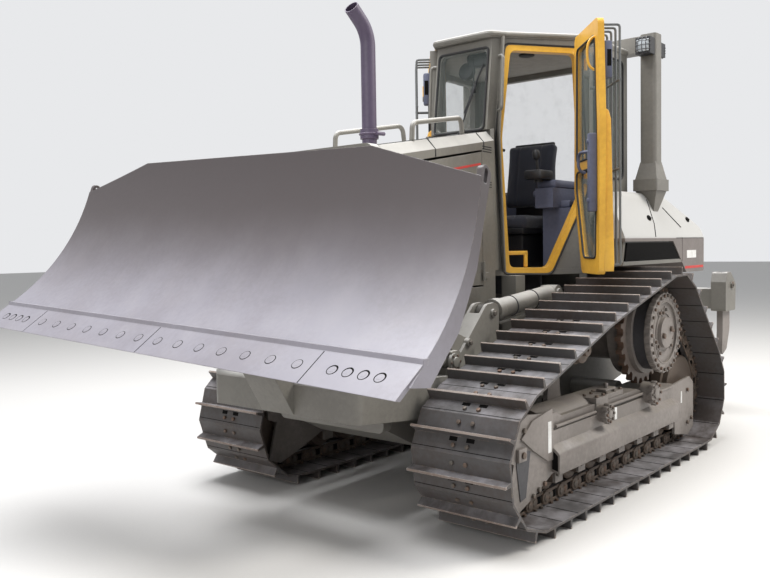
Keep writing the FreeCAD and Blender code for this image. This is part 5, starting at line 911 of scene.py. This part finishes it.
def shifted(outline, by):  # corners moved out from the outline by a distance
    count = len(outline)
    area = sum(outline[i][0] * outline[(i + 1) % count][1] - outline[(i + 1) % count][0] * outline[i][1]
               for i in range(count))
    sense = 1 if area > 0 else -1
    result = []
    for index, corner in enumerate(outline):
        before = (Vector(corner) - Vector(outline[index - 1])).normalized()
        after = (Vector(outline[(index + 1) % count]) - Vector(corner)).normalized()
        normal = (Vector((before.y, -before.x)) + Vector((after.y, -after.x))).normalized() * sense
        stretch = 1 / max(0.35, normal.dot(Vector((before.y, -before.x)) * sense))
        result.append(tuple(Vector(corner) + normal * by * stretch))
    return result


def softened(outline, radius=0.04, steps=4):  # corners cut by short arcs
    result = []
    count = len(outline)
    for index, corner in enumerate(outline):
        here = Vector(corner)
        before, after = Vector(outline[index - 1]) - here, Vector(outline[(index + 1) % count]) - here
        start, end = here + before.normalized() * radius, here + after.normalized() * radius
        for step in range(steps + 1):
            share = step / steps
            result.append(tuple(start * (1 - share) ** 2 + here * 2 * share * (1 - share) + end * share ** 2))
    return result


def band(outline, outer, inner):  # an outline and its hole, for a frame around an opening
    return softened(shifted(outline, outer)), softened(shifted(outline, inner))


def makeOpeningTrim(side, hand):
    opening, place = cabDoor["opening"], cabWall(hand) @ upright
    flange = Piece("cabFlange_" + side, "chassis", "doorPaint")
    flange.plate(band(opening, 0.003, -0.007), *span(hand, -0.004, 0.054), place)
    flange.plate(band(opening, 0.030, -0.006), *span(hand, -0.0045, 0.0005), place)
    seal = Piece("cabSeal_" + side, "chassis", "rubber")
    line = [(across, hand * 0.005, height) for across, height in softened(shifted(opening, 0.040))]
    seal.rod(line, 0.0052, cabWall(hand), closed=True, bent=False)
    finishPieces(flange, seal)


def makeDoorSeals(side, hand, body, place):
    seal = Piece("doorSeal_" + side, body, "rubber")
    for pane in cabDoor["panes"]:
        for face in cabDoor["sealFaces"]:
            line = [(across, hand * face, height) for across, height in softened(shifted(pane, -0.004))]
            seal.rod(line, cabDoor["sealRadius"], place, closed=True, bent=False)
    seal.done()


def makeDoorGuard(side, hand, body, place):
    rods = Piece("doorGuard_" + side, body, "guardPaint")
    for across in doorGuard["rods"]:
        line = [(across, hand * out, height) for out, height in doorGuard["rodLine"]]
        rods.rod(line, doorGuard["rodRadius"], place, bent=False)
    for height in doorGuard["bars"]:
        line = [(across, hand * out, height) for across, out in doorGuard["barLine"]]
        rods.rod(line, doorGuard["barRadius"], place, bent=False)
    rods.done()


def makeDoorEdge(side, hand, body, place):  # moulding, catch and handle on the free edge
    mould = Piece("doorMould_" + side, body, "doorPaint")
    mould.plate(([(hand * out, height) for out, height in cabDoor["mould"]],), *cabDoor["mouldReach"],
                place @ alongX, soften=0.009)
    catch = Piece("doorCatch_" + side, body, "cabPlastic")
    # the dark slot in the catch is painted shade
    slot = Piece("doorCatchSlot_" + side, body, "holeShade")
    for piece, corners, soften in ((catch, cabDoor["catch"], 0.012), (slot, cabDoor["catchSlot"], 0)):
        (start, inner, low), (end, outer, high) = corners
        near, far = span(hand, inner, outer)
        piece.block((start, near, low), (end, far, high), place, soften)
    handle = Piece("doorHandle_" + side, body, "blackPaint")
    (start, low), (end, high) = doorHandle["low"], doorHandle["high"]
    out, half = hand * doorHandle["out"], doorHandle["half"]
    handle.block((start, out - half, low), (end, out + half, high), place, 0.006)
    loop = [(doorHandle["loopAcross"], hand * reach, height) for reach, height in doorHandle["loop"]]
    handle.rod(loop, 0.007, place)
    finishPieces(mould, catch, slot, handle)


def makeDoorInside(side, body, place):  # what shows on the open door's inner side
    grab = Piece("doorGrab", body, "doorPaint")
    grab.rod(grabLine, 0.008, place)
    case = Piece("doorLatchBox_" + side, body, "cabPlastic")
    case.block(latchBox["low"], latchBox["high"], place, 0.008)
    for height in latchBox["screws"]:
        spot = place @ moved(latchBox["screwAcross"], 0, height) @ turned("X", -90)
        case.drum(0.012, -0.048, -0.036, spot, 12)
    case.rod(latchBox["grip"], 0.010, place)
    finishPieces(grab, case)


def makeDoorFlange(side, hand):
    flange = Piece("doorFlange_" + side, "chassis", "bodyPaint")
    line = list(cabDoor["flange"])
    outline = line + [(across + cabDoor["flangeThick"], height) for across, height in reversed(line)]
    flange.plate((outline,), *span(-hand, 0, cabDoor["flangeOut"]), cabWall(hand) @ upright, soften=0.002)
    flange.done()


for side, hand in sides.items():
    doorBody, door = "cab_door_" + side, doorPlace(side)
    makeOpeningTrim(side, hand)
    makeDoorSeals(side, hand, doorBody, door)
    makeDoorGuard(side, hand, doorBody, door)
    makeDoorEdge(side, hand, doorBody, door)
    if side == "left":
        makeDoorInside(side, doorBody, door)
    makeDoorFlange(side, hand)

# Cab shell, windows and what hangs inside the windshield

cabShell = {"rimRadius": 0.021, "rimUp": 0.024, "shield": ((-0.400, -0.30, 1.10), (-0.376, 0.30, 1.32))}
glassPlace = moved(0.183, 0, 2.292) @ turned("Y", -7.7)
windows = {
    "front": ((-0.199, 0), (0.199, 0), (0.199, 0.551), (-0.199, 0.551)),  # across, up the pane
    "side": ((-0.96, 1.99), (-0.50, 1.99), (-0.50, 2.84), (-0.96, 2.84)), "sideOut": 0.662,  # along, height
    "rear": ((-0.472, 1.938), (0.472, 1.938), (0.472, 2.842), (-0.472, 2.842)), "rearX": -1.056,
    "sealRadius": 0.008, "corner": 0.05, "frontCorner": 0.03,
}
wiper = {"hub": (0, 0.03, -0.018), "arm": ((0.026, 0.03, -0.018), (0.030, 0.05, 0.08), (0.022, 0.13, 0.30)),
         "blade": ((0.016, 0.045, 0.12), (0.016, 0.175, 0.44))}
fan = {"stem": ((0.0, -0.02, 2.86), (-0.01, -0.03, 2.80), (0.0, -0.05, 2.76)), "middle": (0.0, -0.05, 2.73),
       "radius": 0.060, "case": ((-0.05, -0.03, 2.75), (0.02, 0.12, 2.81)),
       "microphone": (0.03, 0.02, 2.62),
       "microphoneStem": ((0.03, 0.02, 2.80), (0.035, 0.03, 2.70), (0.03, 0.02, 2.62))}


def makeCabShell():
    rim = Piece("roofRim", "chassis", "bodyPaint")
    corners = [nodes["cab_roof"].matrix_world @ vertex.co for vertex in nodes["cab_roof"].data.vertices]
    lowest = min(spot.z for spot in corners)
    ground = {(round(spot.x, 3), round(spot.y, 3)) for spot in corners if spot.z < lowest + 0.001}
    around = sorted(ground, key=lambda spot: math.atan2(spot[1], spot[0] + 0.5))
    line = [(x * 0.99 - 0.005, y * 0.98, lowest + cabShell["rimUp"]) for x, y in around]
    rim.rod(line, cabShell["rimRadius"], closed=True, bent=False)
    shield = Piece("cabShield", "chassis", "darkPaint")
    shield.block(*cabShell["shield"], soften=0.003)
    finishPieces(rim, shield)
    print("roof corners:", len(around))


def makeWindowSeals():
    seal = Piece("glassSeal", "chassis", "rubber")
    radius, corner = windows["sealRadius"], windows["corner"]
    pane = softened(shifted(windows["front"], 0.002), windows["frontCorner"])
    seal.rod([(0.006, across, up) for across, up in pane], radius, glassPlace, closed=True, bent=False)
    frameSide = softened(windows["side"], corner)
    for hand in sides.values():
        line = [(along, hand * windows["sideOut"], height) for along, height in frameSide]
        seal.rod(line, radius, closed=True, bent=False)
    line = [(windows["rearX"], across, height) for across, height in softened(windows["rear"], corner)]
    seal.rod(line, radius, closed=True, bent=False)
    seal.done()


def makeWiper():
    piece = Piece("wiper", "chassis", "blackPaint")
    piece.drum(0.018, 0.004, 0.03, glassPlace @ moved(*wiper["hub"]) @ turned("Y", 90), 16, soften=0.003)
    piece.rod(wiper["arm"], 0.005, glassPlace)
    piece.rod(wiper["blade"], 0.006, glassPlace, bent=False)
    piece.done()


def makeFan():  # fan and hand microphone under the roof
    piece = Piece("cabFan", "chassis", "blackPaint")
    piece.rod(fan["stem"], 0.008)
    piece.drum(fan["radius"], -0.02, 0.02, moved(*fan["middle"]) @ turned("Y", 80), 24, soften=0.008)
    piece.block(*fan["case"], soften=0.012)
    piece.rod(fan["microphoneStem"], 0.004)
    piece.drum(0.020, -0.05, 0.0, moved(*fan["microphone"]), 16, tip=0.010, soften=0.004)
    piece.done()


makeCabShell()
makeWindowSeals()
makeWiper()
makeFan()

# Inside of the cab: blocks are low corner, high corner, softening

cabInside = {
    "trim": (((-0.80, 0.30, 1.780), (-0.44, 0.50, 1.83), 0.012),
             ((-0.74, 0.28, 1.917), (-0.36, 0.44, 1.975), 0.02),
             ((-0.74, -0.44, 1.917), (-0.36, -0.28, 1.975), 0.02),
             ((-0.99, -0.60, 1.37), (-0.93, 0.60, 1.93), 0.01),
             ((-0.10, -0.17, 1.40), (0.02, 0.17, 1.72), 0.02)),
    "pods": (((-0.40, 0.26, 1.975), (-0.22, 0.40, 2.04), 0.015),
             ((-0.03, -0.14, 2.10), (0.10, 0.14, 2.25), 0.02)),
    "levers": ((-0.30, 0.33, 10), (-0.34, -0.36, -8)), "leverFoot": 2.02,  # x, y, lean
    "gauges": (0.06, -0.06), "gaugeRadius": 0.045,
    "pedalAcross": 0.10, "pedalHalf": 0.04,
    "dashRail": ((-0.14, -0.16, 2.18), (-0.14, 0.0, 2.24), (-0.14, 0.16, 2.18)),
    "headliner": ((-0.985, -0.59), (-0.47, -0.59), (0.0, -0.22), (0.06, -0.19), (0.06, 0.19), (0.0, 0.22),
                  (-0.47, 0.59), (-0.985, 0.59)), "headlinerReach": (2.866, 2.896),
    "vents": (0.22, -0.22), "roofLamp": ((-0.20, -0.10, 2.80), (-0.06, 0.10, 2.864), 0.02),
    "sillHandle": (((0.452, -0.042, 1.372), (0.476, -0.018, 1.475), 0.004),
                   ((0.452, -0.042, 1.455), (0.590, -0.018, 1.482), 0.005)),
}


def makeCabControls():
    pod = Piece("cabControls", "chassis", "blackPaint")
    for low, high, soften in cabInside["pods"]:
        pod.block(low, high, soften=soften)
    for x, y, lean in cabInside["levers"]:
        place = moved(x, y, cabInside["leverFoot"]) @ turned("Y", lean)
        pod.drum(0.035, -0.06, 0.0, place, 20, tip=0.016)
        pod.drum(0.010, 0, 0.12, place, 12)
        pod.ball(0.028, place @ moved(0, 0, 0.13), 1.4)
    for across in cabInside["gauges"]:
        pod.drum(cabInside["gaugeRadius"], 0, 0.012, moved(-0.045, across, 2.13) @ turned("Y", -70), 24)
    half = cabInside["pedalHalf"]
    for hand in sides.values():
        across = hand * cabInside["pedalAcross"]
        pod.block((-0.18, across - half, 1.42), (-0.10, across + half, 1.45), soften=0.006)
        pod.rod([(-0.05, across, 1.60), (-0.12, across, 1.50), (-0.14, across, 1.44)], 0.009)
    pod.rod(cabInside["dashRail"], 0.010)
    pod.done()


def makeCabInside():
    trim = Piece("cabTrim", "chassis", "cabPlastic")
    for low, high, soften in cabInside["trim"]:
        trim.block(low, high, soften=soften)
    liner = Piece("headliner", "chassis", "headliner")
    liner.plate((cabInside["headliner"],), *cabInside["headlinerReach"], soften=0.008)
    vent = Piece("cabVents", "chassis", "rubber")
    for across in cabInside["vents"]:
        vent.drum(0.055, -0.012, 0.0, moved(-0.35, across, 2.864), 24, soften=0.004)
    low, high, soften = cabInside["roofLamp"]
    vent.block(low, high, soften=soften)
    step = Piece("sillHandle", "chassis", "doorPaint")
    for low, high, soften in cabInside["sillHandle"]:
        step.block(low, high, cabWall(1), soften)
    finishPieces(trim, liner, vent, step)


makeCabControls()
makeCabInside()
print("cab dressed")

# Seat

seatParts = {
    "seatCushion": {"middle": (-0.535, 0, 1.682), "size": (0.43, 0.43, 0.085), "lean": 0},
    "seatBack": {"middle": (-0.782, 0, 2.045), "size": (0.085, 0.41, 0.50), "lean": -9},
}
padding = {"edge": 0.028, "voxel": 0.010, "pressure": 4, "steps": 20, "swell": 0.014,
           "seams": (-0.45, 0.45), "seamWidth": 0.035, "seamDepth": 0.009}
seatBase = (((-0.70, -0.17, 1.36), (-0.36, 0.17, 1.60), 0.02),
            ((-0.76, -0.20, 1.60), (-0.32, 0.20, 1.645), 0.012),
            ((-0.86, -0.17, 1.66), (-0.83, 0.17, 2.30), 0.01))
armRest = {"across": 0.255, "half": 0.03, "low": (-0.72, 1.86), "high": (-0.40, 1.91)}


def bakeModifiers(item):
    bpy.context.view_layer.update()
    mesh = bpy.data.meshes.new_from_object(item.evaluated_get(bpy.context.evaluated_depsgraph_get()))
    item.modifiers.clear()
    item.data = mesh


def swellCloth(item):  # air pressure rounds the cushion, within a limit
    before = [spot.co.copy() for spot in item.data.vertices]
    cloth = item.modifiers.new("cloth", "CLOTH")
    cloth.settings.use_pressure = True
    cloth.settings.uniform_pressure_force = padding["pressure"]
    cloth.settings.effector_weights.gravity = 0
    scene = bpy.context.scene
    for step in range(padding["steps"]):
        scene.frame_set(step + 1)
        bpy.context.view_layer.update()
    bakeModifiers(item)
    scene.frame_set(1)
    for spot, old in zip(item.data.vertices, before):
        shift = spot.co - old
        spot.co = old + shift * min(1.0, padding["swell"] / max(shift.length, 1e-6))


def pressSeams(item, size):
    thin = min(range(3), key=lambda axis: size[axis])
    for spot in item.data.vertices:
        across = spot.co.y / (size[1] / 2)
        groove = sum(math.exp(-((across - centre) / padding["seamWidth"]) ** 2) for centre in padding["seams"])
        if spot.co[thin] > 0:
            spot.co[thin] -= padding["seamDepth"] * groove


def makeCushion(name, spec):
    mesh = bpy.data.meshes.new(name)
    sheet = bmesh.new()
    bmesh.ops.create_cube(sheet, size=1, matrix=Matrix.Diagonal((*spec["size"], 1)))
    bmesh.ops.bevel(sheet, geom=sheet.edges[:], offset=padding["edge"], segments=3, profile=0.5, affect="EDGES",
                    material=-1)
    sheet.to_mesh(mesh)
    sheet.free()
    item = bpy.data.objects.new(name, mesh)
    bpy.context.collection.objects.link(item)
    remesh = item.modifiers.new("remesh", "REMESH")
    remesh.mode, remesh.voxel_size = "VOXEL", padding["voxel"]
    bakeModifiers(item)
    swellCloth(item)
    pressSeams(item, spec["size"])
    item.data.transform(moved(*spec["middle"]) @ turned("Y", spec["lean"]))
    smooth = item.modifiers.new("smooth", "SUBSURF")
    smooth.levels = smooth.render_levels = 1
    bakeModifiers(item)
    item.data.shade_smooth()
    item.data.materials.append(materials["seatFabric"])
    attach(item, "chassis")
    return item


def makeSeat():
    cushions = [makeCushion(name, spec) for name, spec in seatParts.items()]
    base = Piece("seatBase", "chassis", "blackPaint")
    for low, high, soften in seatBase:
        base.block(low, high, soften=soften)
    base.done()
    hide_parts("seat")
    (rear, low), (front, high) = armRest["low"], armRest["high"]
    for side, hand in sides.items():
        middle, half = hand * armRest["across"], armRest["half"]
        rest = Piece("armRest_" + side, "chassis", "cabPlastic")
        rest.block((rear, middle - half, low), (front, middle + half, high), soften=0.018)
        rest.done()


makeSeat()
print("seat made")

# Rear body: seams, recessed handles, blank plates and stripes

rearBody = {
    "side": 0.900, "stripes": (((-1.965, 1.318), (-1.56, 1.338)),), "plates": (((-1.80, 1.40), (-1.60, 1.46)),),
    "seams": (((-1.505, 1.38), (-1.501, 1.56)), ((-1.97, 1.554), (-1.38, 1.558))),
    "shoulder": (0.846, 1.702), "shoulderTurn": 68.8,
    "shoulderSeams": (((-1.323, -0.089), (-1.549, 0.068)),
                      ((-1.075, -0.150), (-1.045, 0.047), (-0.985, 0.147))),
    "seamRadii": (0.004, 0.0035), "handles": (-0.992, -1.758),
    "slope": (-1.38, 0, 1.89), "slopeFall": (0.25, 0.60),
    "slopeSeam": (-0.40, -0.16), "slopeSeamOut": 0.62, "locks": (-0.12, -0.46), "lockOut": 0.70,
    "lockRadius": 0.022,
}


def makeShoulder(hand, seams):
    across, height = rearBody["shoulder"]
    place = moved(0, hand * across, height) @ turned("X", -hand * rearBody["shoulderTurn"])
    # dark seam lines and handle recesses: painted shade in the gaps and recesses
    for line, radius in zip(rearBody["shoulderSeams"], rearBody["seamRadii"]):
        seams.rod([(x, hand * up, 0) for x, up in line], radius, place, bent=False)
    for x in rearBody["handles"]:
        oval = place @ moved(x, 0, 0) @ Matrix.Diagonal((1.7, 1, 1, 1))
        seams.drum(rearBody["lockRadius"], -0.001, 0.0012, oval, 24)
        grip = [(x - 0.03, 0, 0), (x - 0.03, 0, 0.008), (x + 0.03, 0, 0.008), (x + 0.03, 0, 0)]
        seams.rod(grip, 0.004, place)


def makeRearTrim():
    # dark seams, handle recesses and lock ovals: painted shade in the gaps and recesses
    seams = Piece("rearSeams", "chassis", "holeShade")
    plates = Piece("rearPlates", "chassis", "plateWhite")
    stripes = Piece("rearStripes", "chassis", "stripeRed")
    fall, run = rearBody["slopeFall"]
    slope = moved(*rearBody["slope"]) @ turned("Y", -math.degrees(math.atan2(fall, run)))
    rear, front = rearBody["slopeSeam"]
    for hand in sides.values():
        face = moved(0, hand * rearBody["side"], 0)
        for piece, shapes, out in ((stripes, rearBody["stripes"], 0.001), (plates, rearBody["plates"], 0.0012),
                                   (seams, rearBody["seams"], 0.0008)):
            for (start, low), (end, high) in shapes:
                piece.block((start, -0.001, low), (end, out, high), face)
        makeShoulder(hand, seams)
        across = hand * rearBody["slopeSeamOut"]
        seams.block((rear, across - 0.003, -0.001), (front, across + 0.003, 0.001), slope)
        for x in rearBody["locks"]:
            oval = slope @ moved(x, hand * rearBody["lockOut"], 0) @ Matrix.Diagonal((1.6, 1, 1, 1))
            seams.drum(rearBody["lockRadius"], -0.001, 0.001, oval, 24)
    finishPieces(seams, plates, stripes)


makeRearTrim()

# Work lamps on the posts

workLamp = {"x": -1.166, "y": 0.790, "reach": 0.150, "cageOut": 0.022, "cageBack": 0.01, "wire": 0.003,
            # forward or back, low, high, half width
            "sizes": ((1, 2.89, 3.01, 0.055), (-1, 2.90, 3.00, 0.050))}


def makeLampCage(cage, x, y, sense, low, high, half):
    back, out = x - sense * workLamp["cageBack"], x + sense * workLamp["cageOut"]
    for step in (-0.03, 0, 0.03):
        cage.rod([(back, y + step, low - 0.004), (out, y + step, low + 0.012), (out, y + step, high - 0.012),
                  (back, y + step, high + 0.004)], workLamp["wire"])
    for height in (low + 0.03, (low + high) / 2, high - 0.03):
        cage.rod([(back, y - half - 0.004, height), (out, y - half + 0.012, height),
                  (out, y + half - 0.012, height), (back, y + half + 0.004, height)], workLamp["wire"])


def makeLamps():
    lens = Piece("lampLenses", "chassis", "lampGlass")
    cage = Piece("lampCages", "chassis", "darkPaint")
    for hand in sides.values():
        for sense, low, high, half in workLamp["sizes"]:
            x, y = workLamp["x"] + sense * workLamp["reach"], hand * workLamp["y"]
            face = moved(x, y, (low + high) / 2) @ turned("Y", 90 * sense)
            lens.block((-half + 0.012, -half + 0.010, -0.002), (half - 0.012, half - 0.010, 0.004), face, 0.003)
            makeLampCage(cage, x, y, sense, low, high, half)
    finishPieces(lens, cage)


makeLamps()

# Push frame and lift cylinders

liftEar = {"face": 0.562, "bolts": ((0.645, 1.117, 0.016), (0.905, 0.965, 0.014)),  # x, z, radius
           "cap": (1.060, 0.566, 0.872), "capRadius": 0.03, "capBolts": 6, "capCircle": 0.04}
liftCylinder = {"start": (-0.198, 0, 1.192), "end": (0.645, 0, 1.117), "across": 0.495, "pipeRadius": 0.009,
                "pipe": ((0.12, 0.055), (0.13, 0.085), (0.18, 0.088), (0.66, 0.088), (0.71, 0.085),
                         (0.72, 0.060)),  # along, below
                "bands": (0.30, 0.56), "bandRadius": 0.0635, "bandThick": 0.004}


def makeEarTrim():
    bolts = Piece("earBolts", "push_frame", "boltSteel")
    rings = Piece("earRings", "push_frame", "bodyPaint")
    x, y, z = liftEar["cap"]
    for hand in sides.values():
        for across, height, radius in liftEar["bolts"]:
            bolts.nut(radius, 0, 0.012, moved(across, hand * liftEar["face"], height) @ outward(hand))
        cap = moved(x, hand * y, z) @ outward(hand)
        rings.drum(liftEar["capRadius"], -0.002, 0.012, cap, 24, soften=0.004)
        for index in range(liftEar["capBolts"]):
            spot = cap @ turned("Z", 360 / liftEar["capBolts"] * index) @ moved(liftEar["capCircle"], 0, 0)
            bolts.nut(0.008, -0.001, 0.009, spot, 0.0015)
    finishPieces(bolts, rings)


def makeLiftTrim():
    pipes = Piece("liftPipes", "lift_barrels", "bodyPaint")
    bands = Piece("liftBands", "lift_barrels", "darkPaint")
    start, end = Vector(liftCylinder["start"]), Vector(liftCylinder["end"])
    along = (end - start).normalized()
    down = Vector((along.z, 0, -along.x))
    turn = Matrix((down, Vector((0, 1, 0)), along)).transposed().to_4x4()
    for hand in sides.values():
        foot = start + Vector((0, hand * liftCylinder["across"], 0))
        pipes.rod([tuple(foot + along * share + down * drop) for share, drop in liftCylinder["pipe"]],
                  liftCylinder["pipeRadius"])
        for share in liftCylinder["bands"]:
            place = Matrix.Translation(foot + along * share) @ turn
            bands.ring(liftCylinder["bandRadius"], liftCylinder["bandThick"], place)
    finishPieces(pipes, bands)


makeEarTrim()
makeLiftTrim()

# Ripper

ripper = {"hinge": (-1.866, 0.499), "linkLength": 0.6, "linkRise": 38, "pinFromLink": (-0.27, 0.275),
          "shanks": (-0.862, 0.0, 0.862), "cheek": 0.071}


def makeRipperTrim():
    pins = Piece("ripperPins", "ripper_beam", "boltSteel")
    (x, z), (back, up) = ripper["hinge"], ripper["pinFromLink"]
    x += back - ripper["linkLength"] * math.cos(math.radians(ripper["linkRise"]))
    z += up + ripper["linkLength"] * math.sin(math.radians(ripper["linkRise"]))
    for y in ripper["shanks"]:
        for hand in sides.values():
            place = moved(x, y + hand * ripper["cheek"], z) @ outward(hand)
            pins.drum(0.030, 0, 0.006, place, 24, soften=0.002)
            pins.drum(0.010, 0.005, 0.014, place, 6)
    pins.done()


makeRipperTrim()
print("rear, lamps and ripper dressed")

# Stage and light

stage = {"floorTone": tone(206, 204, 201), "floorSpeck": tone(188, 186, 184), "floorSize": 60,
         "backdrop": tone(232, 233, 235), "skyTone": (0.93, 0.96, 1.0), "skyStrength": 0.50}


def addStage():
    mesh = bpy.data.meshes.new("floor")
    sheet = bmesh.new()
    bmesh.ops.create_grid(sheet, x_segments=1, y_segments=1, size=stage["floorSize"])
    sheet.to_mesh(mesh)
    sheet.free()
    floor = bpy.data.objects.new("floor", mesh)
    bpy.context.collection.objects.link(floor)
    material, tree, shader = newMaterial("floorFinish")
    speckle = tree.noise(55, 4, 0.7)
    tree.feed(shader.inputs["Base Color"], tree.mix(speckle * 0.3, stage["floorTone"], stage["floorSpeck"]))
    shader.inputs["Roughness"].default_value = 0.75
    mesh.materials.append(material)


def addSky():  # even light on the object, a plain backdrop for the camera, glass and metal
    world = bpy.context.scene.world or bpy.data.worlds.new("studio")
    bpy.context.scene.world = world
    world.use_nodes = True
    tree = Tree(world.node_tree)
    seen = tree.add("LightPath", output="Is Camera Ray")
    seen = seen.maths("MAXIMUM", tree.add("LightPath", output="Is Glossy Ray"))
    seen = seen.maths("MAXIMUM", tree.add("LightPath", output="Is Transmission Ray"))
    light = tree.add("Background", {}, {"Color": stage["skyTone"], "Strength": stage["skyStrength"]})
    shown = tree.add("Background", {}, {"Color": stage["backdrop"], "Strength": 1.0})
    both = tree.add("MixShader", {}, {0: seen, 1: light, 2: shown})
    output = world.node_tree.nodes.new("ShaderNodeOutputWorld")
    world.node_tree.links.new(both.socket, output.inputs["Surface"])


lamps = {
    "keyLamp": {"place": (-5.0, 6.5, 8.5), "aim": (0, 0, 1.2), "size": 5.0, "power": 1150,
                "tone": (1.0, 0.97, 0.92)},
    "topLamp": {"place": (1.5, -1.0, 9.0), "aim": (0.6, 0, 1.0), "size": 7.0, "power": 1250,
                "tone": (0.97, 0.98, 1.0)},
    "fillLamp": {"place": (8.5, 1.0, 4.0), "aim": (0.5, 0, 1.2), "size": 6.0, "power": 200,
                 "tone": (1.0, 0.98, 0.96)},
}


def addLamps():
    for name, spec in lamps.items():
        data = bpy.data.lights.new(name, "AREA")
        data.shape = "DISK"
        data.size = spec["size"]
        data.energy = spec["power"]
        data.color = spec["tone"]
        item = bpy.data.objects.new(name, data)
        bpy.context.collection.objects.link(item)
        item.location = spec["place"]
        sight = Vector(spec["aim"]) - Vector(spec["place"])
        item.rotation_euler = sight.to_track_quat("-Z", "Y").to_euler()


addStage()
addSky()
addLamps()
print("stage and lamps ready")
